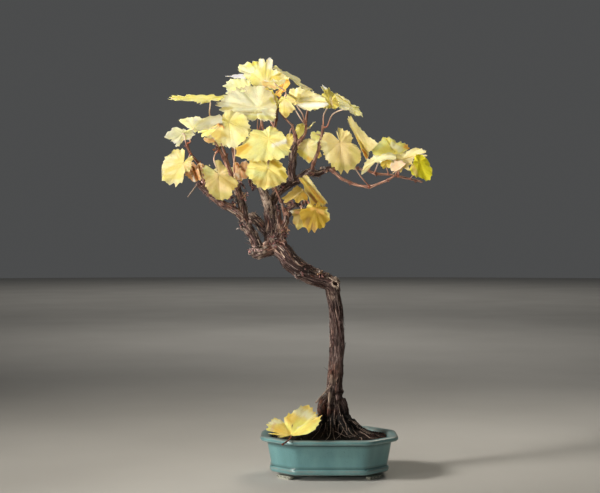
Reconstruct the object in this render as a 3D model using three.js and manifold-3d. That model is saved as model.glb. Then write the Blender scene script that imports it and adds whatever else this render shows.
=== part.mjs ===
import * as THREE from 'three';
import { mergeVertices } from 'three/addons/utils/BufferGeometryUtils.js';
import Module from 'manifold-3d';

// A small grapevine grown as a bonsai, in autumn leaf, in its glazed pot.
// Millimetres, +Z up, and the side it is looked at from is -Y.

const wasm = await Module();
wasm.setup();

// Driving dimensions
const potLength = 160;
const potDepth = 120;
const potHeight = 47.5;
const potCut = 34; // leg of each cut corner
const footHeight = 6.5;
const drainRadius = 7;
const drainAcross = 36; // from the pot's middle to each drain hole
const screenSize = 20;
const clearance = 0.35; // between neighbours that touch on the real thing
const bladeThickness = 0.8;
const stalkRadius = 0.9;
const soilEdge = 44; // height of the soil at the pot's wall
const soilMound = 11; // how much higher it is at the trunk

// How the measuring photograph saw it: a level camera, this far from the pot's middle, this high
// above the ground and this far to the right of the pot, where one pixel was so many millimetres.
const photo = { distance: 1402, height: 267, right: -34.1, pixel: 1.176, middle: [300, 246.5] };

// A point given as photograph pixels across and down, and millimetres behind the pot's middle.
function seen([across, down, behind]) {
  const scale = photo.pixel * (photo.distance + behind) / photo.distance;
  const x = photo.right + (across - photo.middle[0]) * scale;
  return new THREE.Vector3(x, behind, photo.height + (photo.middle[1] - down) * scale);
}

// Solids

function solid(geometry) {
  const bare = geometry.index ? geometry.toNonIndexed() : geometry.clone();
  bare.deleteAttribute('normal');
  bare.deleteAttribute('uv');
  const merged = mergeVertices(bare, 1e-4);
  return new wasm.Manifold(new wasm.Mesh({
    numProp: 3,
    vertProperties: new Float32Array(merged.attributes.position.array),
    triVerts: new Uint32Array(merged.index.array),
  }));
}

function join(parts) {
  return parts.reduce((whole, part) => whole.add(part));
}

function geometryOf(manifold) {
  const mesh = manifold.getMesh();
  const geometry = new THREE.BufferGeometry();
  geometry.setAttribute('position', new THREE.BufferAttribute(mesh.vertProperties, 3));
  geometry.setIndex(new THREE.BufferAttribute(mesh.triVerts, 1));
  geometry.computeVertexNormals();
  return geometry;
}

// Pot

// Points round the plan of the pot, this far in from the rim's edge, with softened corners.
const cornerPoints = 3;
const cornerRadius = 7;

function planPoint(inset, index) {
  const halfLength = potLength / 2 - inset;
  const halfDepth = potDepth / 2 - inset;
  const cut = potCut - inset * (2 - Math.SQRT2);
  const corner = Math.floor(index / cornerPoints);
  const quarter = Math.floor(corner / 2);
  const ends = [
    new THREE.Vector2(halfLength, halfDepth - cut),
    new THREE.Vector2(halfLength - cut, halfDepth),
  ];
  const flat = [new THREE.Vector2(halfLength, 0), new THREE.Vector2(0, halfDepth)];
  const mirrored = quarter % 2 === 1;
  const second = (corner % 2 === 1) !== mirrored;
  const here = second ? ends[1] : ends[0];
  const radius = Math.max(cornerRadius - inset * 0.3, 2);
  const along = (index % cornerPoints) / (cornerPoints - 1);
  const towardsFlat = flat[second ? 1 : 0].clone().sub(here).normalize();
  const towardsCut = ends[second ? 0 : 1].clone().sub(here).normalize();
  const back = radius * Math.tan(Math.PI / 8);
  const start = here.clone().addScaledVector(second ? towardsCut : towardsFlat, back);
  const end = here.clone().addScaledVector(second ? towardsFlat : towardsCut, back);
  const share = mirrored ? 1 - along : along;
  const point = start.clone().lerp(end, share);
  point.lerp(here, 2 * share * (1 - share) * 0.8);
  const signX = quarter === 1 || quarter === 2 ? -1 : 1;
  const signY = quarter >= 2 ? -1 : 1;
  return new THREE.Vector2(point.x * signX, point.y * signY);
}

// A solid whose profile of [inset, height] runs round the pot's plan. A null inset is the middle.
function planSolid(profile, middle = new THREE.Vector2(0, 0)) {
  const around = 8 * cornerPoints;
  const points = profile.map(([inset, height]) => new THREE.Vector2(inset === null ? 0 : 1, height));
  const lathe = new THREE.LatheGeometry(points, around);
  const position = lathe.attributes.position;
  for (let i = 0; i <= around; i++) {
    for (let j = 0; j < profile.length; j++) {
      const [inset, height] = profile[j];
      const spot = inset === null ? middle : planPoint(inset, (2 * around - i) % around);
      position.setXYZ(i * profile.length + j, spot.x, spot.y, height);
    }
  }
  const made = solid(lathe);
  return made.volume() > 0 ? made : solid(turnedOut(lathe));
}

function turnedOut(geometry) {
  const index = geometry.index.array;
  for (let i = 0; i < index.length; i += 3) {
    [index[i], index[i + 1]] = [index[i + 1], index[i]];
  }
  return geometry;
}

const floorTop = 12;
const wallInset = 16.5; // the inside of the wall, at the floor
const rimInset = 10.8; // the inside of the rim

function makePot() {
  const body = planSolid([
    [null, footHeight], [13, footHeight], [11.6, 7.6], [10.9, 9.2], [11, 11.6], [12.2, 13.2],
    [12.6, 14.2], [9.6, 30], [7.8, 40], [6.9, 41.6], [1.4, 42.2], [0, 43.8], [0.2, 46.2],
    [2, potHeight], [7.6, potHeight], [rimInset, 45.4], [12, 40], [wallInset, floorTop],
    [null, floorTop],
  ]);
  const drains = [-drainAcross, drainAcross].map((across) => {
    const drill = new THREE.CylinderGeometry(drainRadius, drainRadius, 20, 12);
    return solid(drill.rotateX(Math.PI / 2).translate(across, 0, footHeight + 3));
  });
  return drains.reduce((whole, drain) => whole.subtract(drain), join([body, ...makeFeet()]));
}

// A cloud foot stands under each cut corner: a bar with scooped ends, narrower at the ground.
function makeFeet() {
  const half = 14;
  const outline = new THREE.Shape();
  outline.moveTo(-half, footHeight + 1);
  outline.lineTo(-half, footHeight - 0.6);
  outline.quadraticCurveTo(-half + 0.4, 2.6, -half + 4, 2.4);
  outline.lineTo(-half + 5.4, 0);
  outline.lineTo(half - 5.4, 0);
  outline.lineTo(half - 4, 2.4);
  outline.quadraticCurveTo(half - 0.4, 2.6, half, footHeight - 0.6);
  outline.lineTo(half, footHeight + 1);
  const thickness = 8;
  const feet = [];
  for (const [signX, signY] of [[1, 1], [-1, 1], [-1, -1], [1, -1]]) {
    const bar = new THREE.ExtrudeGeometry(outline, {
      depth: thickness, bevelEnabled: false, curveSegments: 3,
    });
    bar.translate(0, 0, -thickness / 2);
    bar.rotateX(Math.PI / 2);
    bar.rotateZ(signX * signY > 0 ? -Math.PI / 4 : Math.PI / 4);
    const inset = 13 + thickness / 2;
    const cut = potCut - inset * (2 - Math.SQRT2);
    const x = signX * (potLength / 2 - inset - cut / 2);
    const y = signY * (potDepth / 2 - inset - cut / 2);
    feet.push(solid(bar.translate(x, y, 0)));
  }
  return feet;
}

// Drain screens: a square of plastic mesh over each hole, under the soil.
const screenThickness = 0.9;

function screenPlate(across, grow, thickness) {
  const plate = new THREE.BoxGeometry(screenSize + 2 * grow, screenSize + 2 * grow, thickness);
  return solid(plate.translate(across, 0, floorTop + clearance + screenThickness - thickness / 2 + grow));
}

function makeScreen(across) {
  const pitch = 5;
  const hole = 3.4;
  let screen = screenPlate(across, 0, screenThickness);
  for (let i = -1; i <= 1; i++) {
    for (let j = -1; j <= 1; j++) {
      const window = new THREE.BoxGeometry(hole, hole, 4);
      screen = screen.subtract(solid(window.translate(across + i * pitch, j * pitch, floorTop)));
    }
  }
  return screen;
}

// Vine

const ridgeCount = 5;
const ridgeDepth = 0.07;

// A limb along points of [across, down, behind, radius], with ridges of bark that wind round it.
function limbShape({ path, step = 9, ridges = 0 }) {
  const curve = new THREE.CatmullRomCurve3(path.map(seen), false, 'centripetal');
  const steps = Math.max(2, Math.round(curve.getLength() / step));
  const frames = curve.computeFrenetFrames(steps);
  const rings = [];
  for (let i = 0; i <= steps; i++) {
    const where = curve.getUtoTmapping(i / steps) * (path.length - 1);
    const from = Math.min(Math.floor(where), path.length - 2);
    rings.push({
      centre: curve.getPointAt(i / steps),
      radius: THREE.MathUtils.lerp(path[from][3], path[from + 1][3], where - from),
      along: frames.tangents[i],
      side: frames.normals[i],
      out: frames.normals[i].clone().cross(frames.tangents[i]),
      twist: i * 0.35,
      ridges,
    });
  }
  return rings;
}

function ringPoint(ring, angle, grow = 0) {
  const ridge = 1 + ring.ridges * ridgeDepth * Math.sin(ridgeCount * angle + ring.twist);
  const reach = ring.radius * ridge + grow;
  return ring.centre.clone()
    .addScaledVector(ring.out, Math.sin(angle) * reach)
    .addScaledVector(ring.side, Math.cos(angle) * reach);
}

function limbSolid(rings, sides, grow = 0) {
  const steps = rings.length - 1;
  const tube = new THREE.CylinderGeometry(1, 1, 1, sides, steps);
  const position = tube.attributes.position;
  for (let i = 0; i < position.count; i++) {
    const share = 0.5 - position.getY(i);
    const ring = rings[Math.round(share * steps)];
    const across = Math.hypot(position.getX(i), position.getZ(i));
    const angle = Math.atan2(position.getX(i), position.getZ(i));
    const end = share < 1e-3 ? -grow : share > 1 - 1e-3 ? grow : 0;
    const point = across < 1e-3 ? ring.centre.clone() : ringPoint(ring, angle, grow);
    point.addScaledVector(ring.along, end);
    position.setXYZ(i, point.x, point.y, point.z);
  }
  const made = solid(tube);
  return made.volume() > 0 ? made : solid(turnedOut(tube));
}

const oldWood = [
  { // trunk, from its crown in the soil up to the elbow and on to the head
    sides: 13, ridges: 1, step: 9,
    path: [
      [338, 455, 0, 11], [338, 441, 0, 14], [337, 428, 0, 12.5], [336, 418, 0, 10.8],
      [334.5, 407, 1, 9.6], [334, 397, 2, 8.9], [334.5, 385, 4, 8.9], [336, 367, 7, 8.6],
      [337, 343, 9, 8.6], [336.5, 318, 8, 7.6], [334, 298, 5, 7.4], [330.5, 284, 2, 9],
      [323, 280, 0, 9.3], [314, 277, -2, 9.6], [300, 269, -6, 9.9], [291, 262, -8, 9.8],
      [284, 253, -8, 9.8], [277, 246, -6, 9.4], [271, 239, -3, 8],
    ],
  },
  { // knotty spur at the head, on the left
    sides: 9, ridges: 1,
    path: [[276, 248, -6, 7.5], [266, 250, -10, 7], [258, 252, -13, 7.3], [252.5, 253.5, -14, 5.4]],
  },
  { // left branch
    sides: 9, ridges: 1,
    path: [
      [259, 250, -12, 6.2], [252.4, 234.7, -14, 5.2], [246.6, 226.4, -14, 5.7], [244, 218, -12, 5],
      [242.5, 208, -9, 4.6], [239.9, 198, -5, 4.4], [237.4, 189.5, -2, 4.3], [236, 181, 1, 3.4],
      [235.5, 174, 4, 2.4],
    ],
  },
  { // low side branch on the far left
    sides: 8, ridges: 1,
    path: [
      [244, 218, -12, 4.4], [234, 210, -14, 4.3], [222, 203.5, -17, 4], [211, 195, -20, 3.8],
      [202, 187.5, -21, 3.5], [196.8, 183, -21, 2.4],
    ],
  },
  { // bare stick on its end
    sides: 4, path: [[198.5, 182.5, -21, 1], [196, 186, -23, 0.9], [187.5, 197.2, -27, 0.7]],
  },
  { // middle branch, up to its fork
    sides: 10, ridges: 1,
    path: [[273, 245, -2, 8.4], [270.8, 233, 1, 7.6], [271, 224, 2, 7.3], [270, 212, 4, 6.8],
      [270.5, 205, 5, 5.6]],
  },
  { // cut stump behind the left branch
    sides: 8, ridges: 1,
    path: [[270, 235, 2, 5.8], [262, 226, 7, 5.6], [255, 219, 11, 5.4], [250.5, 214.5, 13, 4.6]],
  },
  { // left arm of the fork
    sides: 8, ridges: 1,
    path: [[269.6, 210, 4, 5.2], [267.3, 203, 1, 4.9], [265, 196, -2, 4.7], [262, 189, -5, 4.4],
      [258, 181, -7, 3.6], [256, 175, -8, 2.6]],
  },
  { // right arm of the fork, which bends over into the right branch
    sides: 8, ridges: 1,
    path: [
      [271, 209, 5, 5.2], [273.5, 200, 9, 4.9], [278.5, 191.5, 13, 5], [288.6, 184.3, 15, 5],
      [298.5, 179.7, 14, 4.9], [306, 174.6, 12, 4.6], [312, 171.5, 10, 4.3], [316, 173.6, 9, 3.4],
      [322.2, 172, 8, 2.9], [327.6, 169, 7, 2.9], [331.5, 168, 6, 2.5],
    ],
  },
  { // dark spur at the head
    sides: 7, ridges: 1,
    path: [[277.5, 241, -5, 4], [279.4, 228, -9, 3.6], [278.6, 217, -10, 3.4], [278, 207, -9, 2.4]],
  },
  { // reddish spur beside it
    sides: 7, ridges: 1,
    path: [[281.4, 243, -7, 4.3], [283.4, 229, -10, 3.4], [286.2, 220, -10, 3.3],
      [285.6, 213, -10, 3], [283.5, 208, -10, 2.4]],
  },
  { // knotty twig under the right branch
    sides: 6,
    path: [[285, 211, -9, 2.8], [292, 206, -7, 2.6], [300, 204, -5, 2.4], [308, 202.3, -4, 1.9]],
  },
  { // upright in the middle
    sides: 8, ridges: 1,
    path: [[292.5, 181, 14, 4.6], [291.6, 170, 13, 4.3], [293, 162.8, 12, 4.1], [292.8, 155, 11, 3.9],
      [294.5, 149, 10, 3.5], [295.6, 142, 9, 2.8]],
  },
  { // stub of a lost branch, low on the trunk
    sides: 7,
    path: [[332, 411, -3, 5], [324, 409, -7, 4.6], [318.6, 405, -9, 4], [317, 401, -9, 2.6]],
  },
  { // thin dead twig from the trunk down to that stub
    sides: 4, path: [[329, 383, -2, 0.9], [323.5, 389, -10, 0.8], [317.6, 403, -10, 0.7]],
  },
];

const canes = [
  { // far left shoot
    sides: 5, step: 11,
    path: [[203, 189, -21, 2.2], [203.6, 178, -24, 2], [203, 168, -26, 1.9], [197.4, 162, -29, 1.7],
      [190.8, 154, -31, 1.6], [188.3, 149, -32, 2], [186.7, 143.5, -33, 1.3]],
  },
  { // left cane
    sides: 5, step: 11,
    path: [[236.4, 186, -1, 2.8], [231, 176, -3, 2.5], [228, 168.6, -4, 2.3], [223.5, 157.8, -5, 2.1],
      [218.9, 148.7, -7, 2], [214.6, 141.8, -8, 1.5]],
  },
  { // second left cane
    sides: 5, step: 11,
    path: [[236.8, 183, 2, 2.4], [231, 172, 4, 2.1], [226, 157, 3, 1.9], [222.4, 145, 1, 1.8],
      [221.6, 136, 0, 1.7], [220.4, 129, 2, 1.6], [216, 126.4, 3, 1.4], [211, 124.8, 4, 1]],
  },
  { // cane behind the big front leaf
    sides: 5, step: 11,
    path: [[256, 178, -8, 2.6], [256.6, 163, -10, 2.2], [257.6, 150, -12, 2], [259, 138, -14, 1.9],
      [260, 128.5, -15, 1.4]],
  },
  { // cane up to the crown
    sides: 5, step: 11,
    path: [[258.4, 184, -5, 2.6], [262.5, 168, 0, 2.4], [268, 150, 4, 2.2], [273, 134, 6, 2.1],
      [275.3, 124.5, 6, 2], [276.4, 115, 5, 1.9], [276.6, 105, 4, 1.8], [279.6, 96.5, 2, 1.3]],
  },
  { // its fork, up behind the crown
    sides: 5, step: 11,
    path: [[274.4, 128, 6, 1.9], [268.5, 115, 14, 1.7], [265, 101, 18, 1.6], [263.4, 89, 18, 1.4],
      [262.4, 80, 17, 1.1]],
  },
  { // thin link from the crown's cane to the upright
    sides: 5, path: [[277, 108, 4, 1.4], [284, 117, 6, 1.2], [292.6, 126, 7, 1.3]],
  },
  { // cane on the upright's left
    sides: 5, step: 11,
    path: [[295.6, 145, 9, 2.7], [295.4, 138, 8, 2.4], [293.8, 130.7, 7, 2.2], [292.2, 124.2, 6, 1.7]],
  },
  { // cane on its right
    sides: 5, step: 11,
    path: [[295.6, 144.6, 9, 2.5], [298.6, 141.2, 8, 2.1], [302.4, 137.4, 7, 2], [304.8, 134, 6, 1.9],
      [306.2, 127.7, 5, 1.8], [305.8, 121.4, 3, 1.4]],
  },
  { // upright cane on the right branch
    sides: 5, step: 11,
    path: [[311.8, 172, 9, 2.7], [312.8, 165.6, 7, 2.4], [315.5, 158.3, 4, 2.3], [318.4, 150.6, 1, 2.2],
      [320, 142.2, -1, 2.1], [322, 134.5, -3, 2], [322.8, 125, -5, 1.5]],
  },
  { // long cane that dips under the big right leaf
    sides: 5, step: 11,
    path: [[329.6, 168.4, 6, 2.5], [335, 173, 4, 2.1], [341, 178.2, 2, 2.2], [348, 181.6, 0, 1.9],
      [356, 184.8, -2, 2.1], [363, 186.2, -4, 1.8], [369.4, 186.9, -6, 2], [378, 184, -9, 1.7],
      [389.5, 179.1, -14, 1.6], [396.4, 174.4, -17, 1.4]],
  },
  { // long cane behind it
    sides: 5, step: 11,
    path: [[329, 169, 7, 2.4], [343, 167.4, 13, 1.9], [357, 168.6, 17, 1.8], [368.4, 170.8, 19, 1.8],
      [374.2, 173.3, 19, 1.9], [389.5, 174.8, 18, 1.6], [398.1, 176.4, 17, 1.8],
      [410.5, 179.1, 15, 1.5], [422.4, 182, 13, 1.3]],
  },
  { // far side, left
    sides: 5, step: 11,
    path: [[237.6, 190, -1, 2.8], [236.5, 177, 14, 2.4], [234.5, 160, 27, 2.1], [232.5, 145, 35, 1.9],
      [231.5, 135, 38, 1.4]],
  },
  { // far side, middle
    sides: 5, step: 11,
    path: [[276.5, 195, 11, 2.9], [272, 180, 25, 2.4], [268.6, 165, 34, 2.2], [267, 150, 39, 2],
      [263.6, 131, 43, 1.8], [259.4, 113, 45, 1.6], [257.6, 104, 46, 1.2]],
  },
  { // far side, right
    sides: 5, step: 11,
    path: [[293.2, 160, 13, 2.5], [296, 152, 30, 2.1], [303, 134, 38, 1.9], [307, 114, 40, 1.6],
      [308.4, 105, 41, 1.2]],
  },
  { // thin red cane up to the yellow front leaf
    sides: 5, step: 11,
    path: [[283.6, 209.5, -10, 2], [279.2, 198, -14, 1.6], [275.8, 189, -19, 1.5],
      [272, 181.5, -26, 1.2]],
  },
];

const roots = [
  [[344, 411, 0, 5.4], [350, 420, -3, 5], [358, 427.5, -6, 4.4], [368, 434.4, -8, 3.4],
    [382, 442, -10, 2.4]],
  [[339, 410, -6, 5], [342, 422, -14, 4.6], [347, 431, -22, 4], [354, 441, -31, 2.8]],
  [[334, 409, -7, 5], [333, 422, -15, 4.6], [331, 432, -24, 3.8], [329, 443, -33, 2.6]],
  [[328, 414, -3, 5], [323, 425, -7, 4.4], [318, 434, -12, 3.4], [311, 443, -17, 2.4]],
  [[329, 412, 6, 5], [323, 423, 14, 4.4], [316, 432, 22, 3.4], [308, 441, 28, 2.4]],
  [[336, 410, 8, 5], [337, 421, 17, 4.6], [339, 431, 27, 3.6], [341, 441, 36, 2.4]],
  [[342, 411, 6, 5], [349, 421, 12, 4.4], [358, 430, 19, 3.4], [370, 440, 25, 2.4]],
].map((path) => ({ sides: 5, path }));

const limbs = [...oldWood, ...canes, ...roots].map((limb) => ({ ...limb, rings: limbShape(limb) }));

function makeVine() {
  return join(limbs.map(({ rings, sides }) => limbSolid(rings, sides)));
}

// Soil: it fills the pot up to the clearance, and is mounded round the trunk, which it leaves free.
function makeSoil() {
  const side = clearance;
  const wallAt = (height) => {
    const share = (height - floorTop) / (40 - floorTop);
    return THREE.MathUtils.lerp(wallInset, 12, share) + side;
  };
  const trunk = seen([337, 437, 0]);
  const fill = planSolid([
    [null, floorTop + clearance], [wallAt(floorTop), floorTop + clearance], [wallAt(40), 40],
    [wallAt(40) + 0.2, soilEdge - 1.2], [15, soilEdge], [26, soilEdge + soilMound * 0.2],
    [38, soilEdge + soilMound * 0.62], [48, soilEdge + soilMound * 0.92],
    [null, soilEdge + soilMound],
  ], new THREE.Vector2(trunk.x, trunk.y));
  const pockets = [-drainAcross, drainAcross].map((x) => screenPlate(x, clearance, screenThickness + 3));
  const lowest = Math.round(soilEdge + soilMound);
  const buried = limbs.filter(({ rings }) => rings.some(({ centre }) => centre.z < lowest));
  const holes = buried.map(({ rings, sides }) => limbSolid(rings, sides, clearance));
  return [...pockets, ...holes].reduce((left, hole) => left.subtract(hole), fill);
}

// Leaves

// Small leaves have fewer teeth. There are two points of the edge to a tooth, and one of the ring
// inside it to three points of the edge.
const teethOf = (leaf) => (leaf.size >= 30 ? 15 : leaf.size >= 18 ? 12 : 9);
const innerShare = 0.55;

// How far the edge is from the stalk, as a share of the way to the tip, at degrees from the tip.
const lobes = [
  [0, 1], [27, 0.84], [54, 0.82], [82, 0.66], [108, 0.67], [135, 0.55], [155, 0.45], [170, 0.28],
  [180, 0.07],
];

// An even draw from 0 to 1 that only depends on its two numbers.
function draw(seed, key) {
  const wave = Math.sin(seed * 12.9898 + key * 78.233) * 43758.5453;
  return wave - Math.floor(wave);
}

function edgeShare(leaf, degrees) {
  const side = degrees > 180 ? 1 : 0;
  const turn = side ? 360 - degrees : degrees;
  let key = 0;
  while (key < lobes.length - 2 && lobes[key + 1][0] < turn) key++;
  const wobble = (at) => {
    if (at === lobes.length - 1) return 1;
    return 0.94 + 0.12 * draw(leaf.seed, at ? at + side * 20 : 0);
  };
  const share = (turn - lobes[key][0]) / (lobes[key + 1][0] - lobes[key][0]);
  const smooth = share * share * (3 - 2 * share);
  return THREE.MathUtils.lerp(lobes[key][1] * wobble(key), lobes[key + 1][1] * wobble(key + 1), smooth);
}

function toothShare(leaf, degrees) {
  const pitch = 360 / teethOf(leaf);
  const phase = degrees / pitch + 0.5;
  const wave = 1 - 4 * Math.abs(phase - Math.floor(phase) - 0.5);
  const awayFromStalk = Math.min(1, Math.abs(180 - degrees) / 25);
  return 1 + 0.05 * awayFromStalk * wave;
}

// The directions of a leaf: along to its tip, up from its face, and across it.
function leafFrame(leaf) {
  const along = new THREE.Vector3(...leaf.points).normalize();
  const up = new THREE.Vector3(...leaf.faces);
  up.addScaledVector(along, -up.dot(along)).normalize();
  return { along, up, across: along.clone().cross(up) };
}

// A point of the blade's middle sheet, bent from the flat leaf by its fold, roll, arch and ruffle.
function bladePoint(leaf, frame, degrees, share) {
  const turn = THREE.MathUtils.degToRad(degrees);
  const reach = leaf.size * edgeShare(leaf, degrees) * toothShare(leaf, degrees) * share;
  const x = Math.sin(turn) * reach * (leaf.width ?? 1);
  const y = Math.cos(turn) * reach * (Math.cos(turn) < 0 ? leaf.base ?? 1 : 1);
  const half = Math.abs(x);
  const fold = THREE.MathUtils.degToRad(leaf.fold ?? 0);
  const roll = THREE.MathUtils.degToRad(leaf.roll ?? 0) / (leaf.size * 0.64);
  const arch = THREE.MathUtils.degToRad(leaf.arch ?? 0) / leaf.size;
  const lean = fold - roll * half;
  const out = Math.abs(roll) < 1e-6 ? half * Math.cos(fold) : (Math.sin(fold) - Math.sin(lean)) / roll;
  let lift = Math.abs(roll) < 1e-6 ? half * Math.sin(fold) : (Math.cos(lean) - Math.cos(fold)) / roll;
  lift += (leaf.ruffle ?? 1.2) * share * share * Math.sin(5 * turn + 6 * leaf.seed);
  const bend = arch * y;
  const forth = Math.abs(arch) < 1e-6 ? y : Math.sin(bend) / arch;
  const drop = Math.abs(arch) < 1e-6 ? 0 : (1 - Math.cos(bend)) / arch;
  return frame.at.clone()
    .addScaledVector(frame.across, Math.sign(x) * out)
    .addScaledVector(frame.along, forth + lift * Math.sin(bend))
    .addScaledVector(frame.up, lift * Math.cos(bend) - drop);
}

function bladeNormal(leaf, frame, degrees, share) {
  const small = 0.02;
  const near = Math.max(share, small * 2);
  const step = small / near * 40;
  const turned = bladePoint(leaf, frame, degrees + step, near)
    .sub(bladePoint(leaf, frame, degrees - step, near));
  const outward = bladePoint(leaf, frame, degrees, near + small)
    .sub(bladePoint(leaf, frame, degrees, near - small));
  const normal = outward.cross(turned).normalize();
  return normal.dot(frame.up) < 0 ? normal.negate() : normal;
}

function bladeSolid(leaf, frame) {
  const outlinePoints = 2 * teethOf(leaf);
  const innerPoints = outlinePoints / 3;
  const spots = [{ degrees: 0, share: 0 }];
  for (let i = 0; i < innerPoints; i++) spots.push({ degrees: i * 360 / innerPoints, share: innerShare });
  for (let i = 0; i < outlinePoints; i++) spots.push({ degrees: i * 360 / outlinePoints, share: 1 });
  const count = spots.length;
  const positions = [];
  for (const face of [1, -1]) {
    for (const { degrees, share } of spots) {
      const onRib = Math.abs(Math.sin(THREE.MathUtils.degToRad(degrees))) < 1e-6;
      const normal = (onRib ? ribNormal : bladeNormal)(leaf, frame, degrees, share);
      const thick = onRib ? Math.min(2, 1 / Math.cos(THREE.MathUtils.degToRad(leaf.fold ?? 0))) : 1;
      const point = bladePoint(leaf, frame, degrees, share);
      point.addScaledVector(normal, face * thick * bladeThickness / 2);
      positions.push(point.x, point.y, point.z);
    }
  }
  const index = [];
  const facet = (a, b, c) => index.push(a, b, c, a + count, c + count, b + count);
  const inner = (i) => 1 + (i % innerPoints);
  const outer = (i) => 1 + innerPoints + (i % outlinePoints);
  for (let i = 0; i < innerPoints; i++) {
    facet(0, inner(i + 1), inner(i));
    facet(inner(i), outer(3 * i + 1), outer(3 * i));
    facet(inner(i), inner(i + 1), outer(3 * i + 1));
    facet(inner(i + 1), outer(3 * i + 2), outer(3 * i + 1));
    facet(inner(i + 1), outer(3 * i + 3), outer(3 * i + 2));
  }
  for (let i = 0; i < outlinePoints; i++) {
    const [a, b] = [outer(i), outer(i + 1)];
    index.push(a, b, b + count, a, b + count, a + count);
  }
  const geometry = new THREE.BufferGeometry();
  geometry.setAttribute('position', new THREE.Float32BufferAttribute(positions, 3));
  geometry.setIndex(index);
  const made = solid(geometry);
  return made.volume() > 0 ? made : solid(turnedOut(geometry));
}

// On the rib the two halves meet, so the face there looks straight up from the bend.
function ribNormal(leaf, frame, degrees, share) {
  const y = Math.cos(THREE.MathUtils.degToRad(degrees)) * leaf.size * edgeShare(leaf, degrees) * share;
  const bend = THREE.MathUtils.degToRad(leaf.arch ?? 0) / leaf.size * y;
  return frame.up.clone().multiplyScalar(Math.cos(bend)).addScaledVector(frame.along, Math.sin(bend));
}

// The place on the vine nearest to a point, with the wood's direction and thickness there.
function nearestWood(point) {
  let best = null;
  for (const { rings } of limbs) {
    for (let i = 0; i < rings.length - 1; i++) {
      const segment = new THREE.Line3(rings[i].centre, rings[i + 1].centre);
      const share = segment.closestPointToPointParameter(point, true);
      const centre = segment.at(share, new THREE.Vector3());
      const distance = centre.distanceTo(point);
      if (best === null || distance < best.distance) {
        const radius = THREE.MathUtils.lerp(rings[i].radius, rings[i + 1].radius, share);
        best = { centre, radius, along: rings[i].along, distance };
      }
    }
  }
  return best;
}

// The stalk: off the cane at its foot, through its own points, and into the blade from below.
function stalkSolid(leaf, frame) {
  const points = leaf.stalk.map(seen);
  if (!leaf.loose) {
    const wood = nearestWood(points.shift());
    const aim = (points[0] ?? frame.at).clone().sub(wood.centre);
    const off = aim.addScaledVector(wood.along, -aim.dot(wood.along)).normalize();
    points.unshift(
      wood.centre.clone().addScaledVector(off, wood.radius + clearance),
      wood.centre.clone().addScaledVector(off, wood.radius + clearance + 2.5),
    );
  }
  points.push(frame.at.clone().addScaledVector(frame.up, -2).addScaledVector(frame.along, -1), frame.at);
  const curve = new THREE.CatmullRomCurve3(points, false, 'centripetal');
  const section = new THREE.Shape([0, 120, 240].map((degrees) => new THREE.Vector2(
    stalkRadius * Math.cos(THREE.MathUtils.degToRad(degrees)),
    stalkRadius * Math.sin(THREE.MathUtils.degToRad(degrees)))));
  const steps = Math.max(3, Math.min(5, Math.round(curve.getLength() / 9)));
  return solid(new THREE.ExtrudeGeometry(section, { steps, extrudePath: curve, bevelEnabled: false }));
}

function makeLeaf(leaf) {
  const frame = { ...leafFrame(leaf), at: seen(leaf.at) };
  const pieces = bladeSolid(leaf, frame).add(stalkSolid(leaf, frame)).decompose();
  return pieces.sort((a, b) => b.volume() - a.volume())[0];
}

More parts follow.
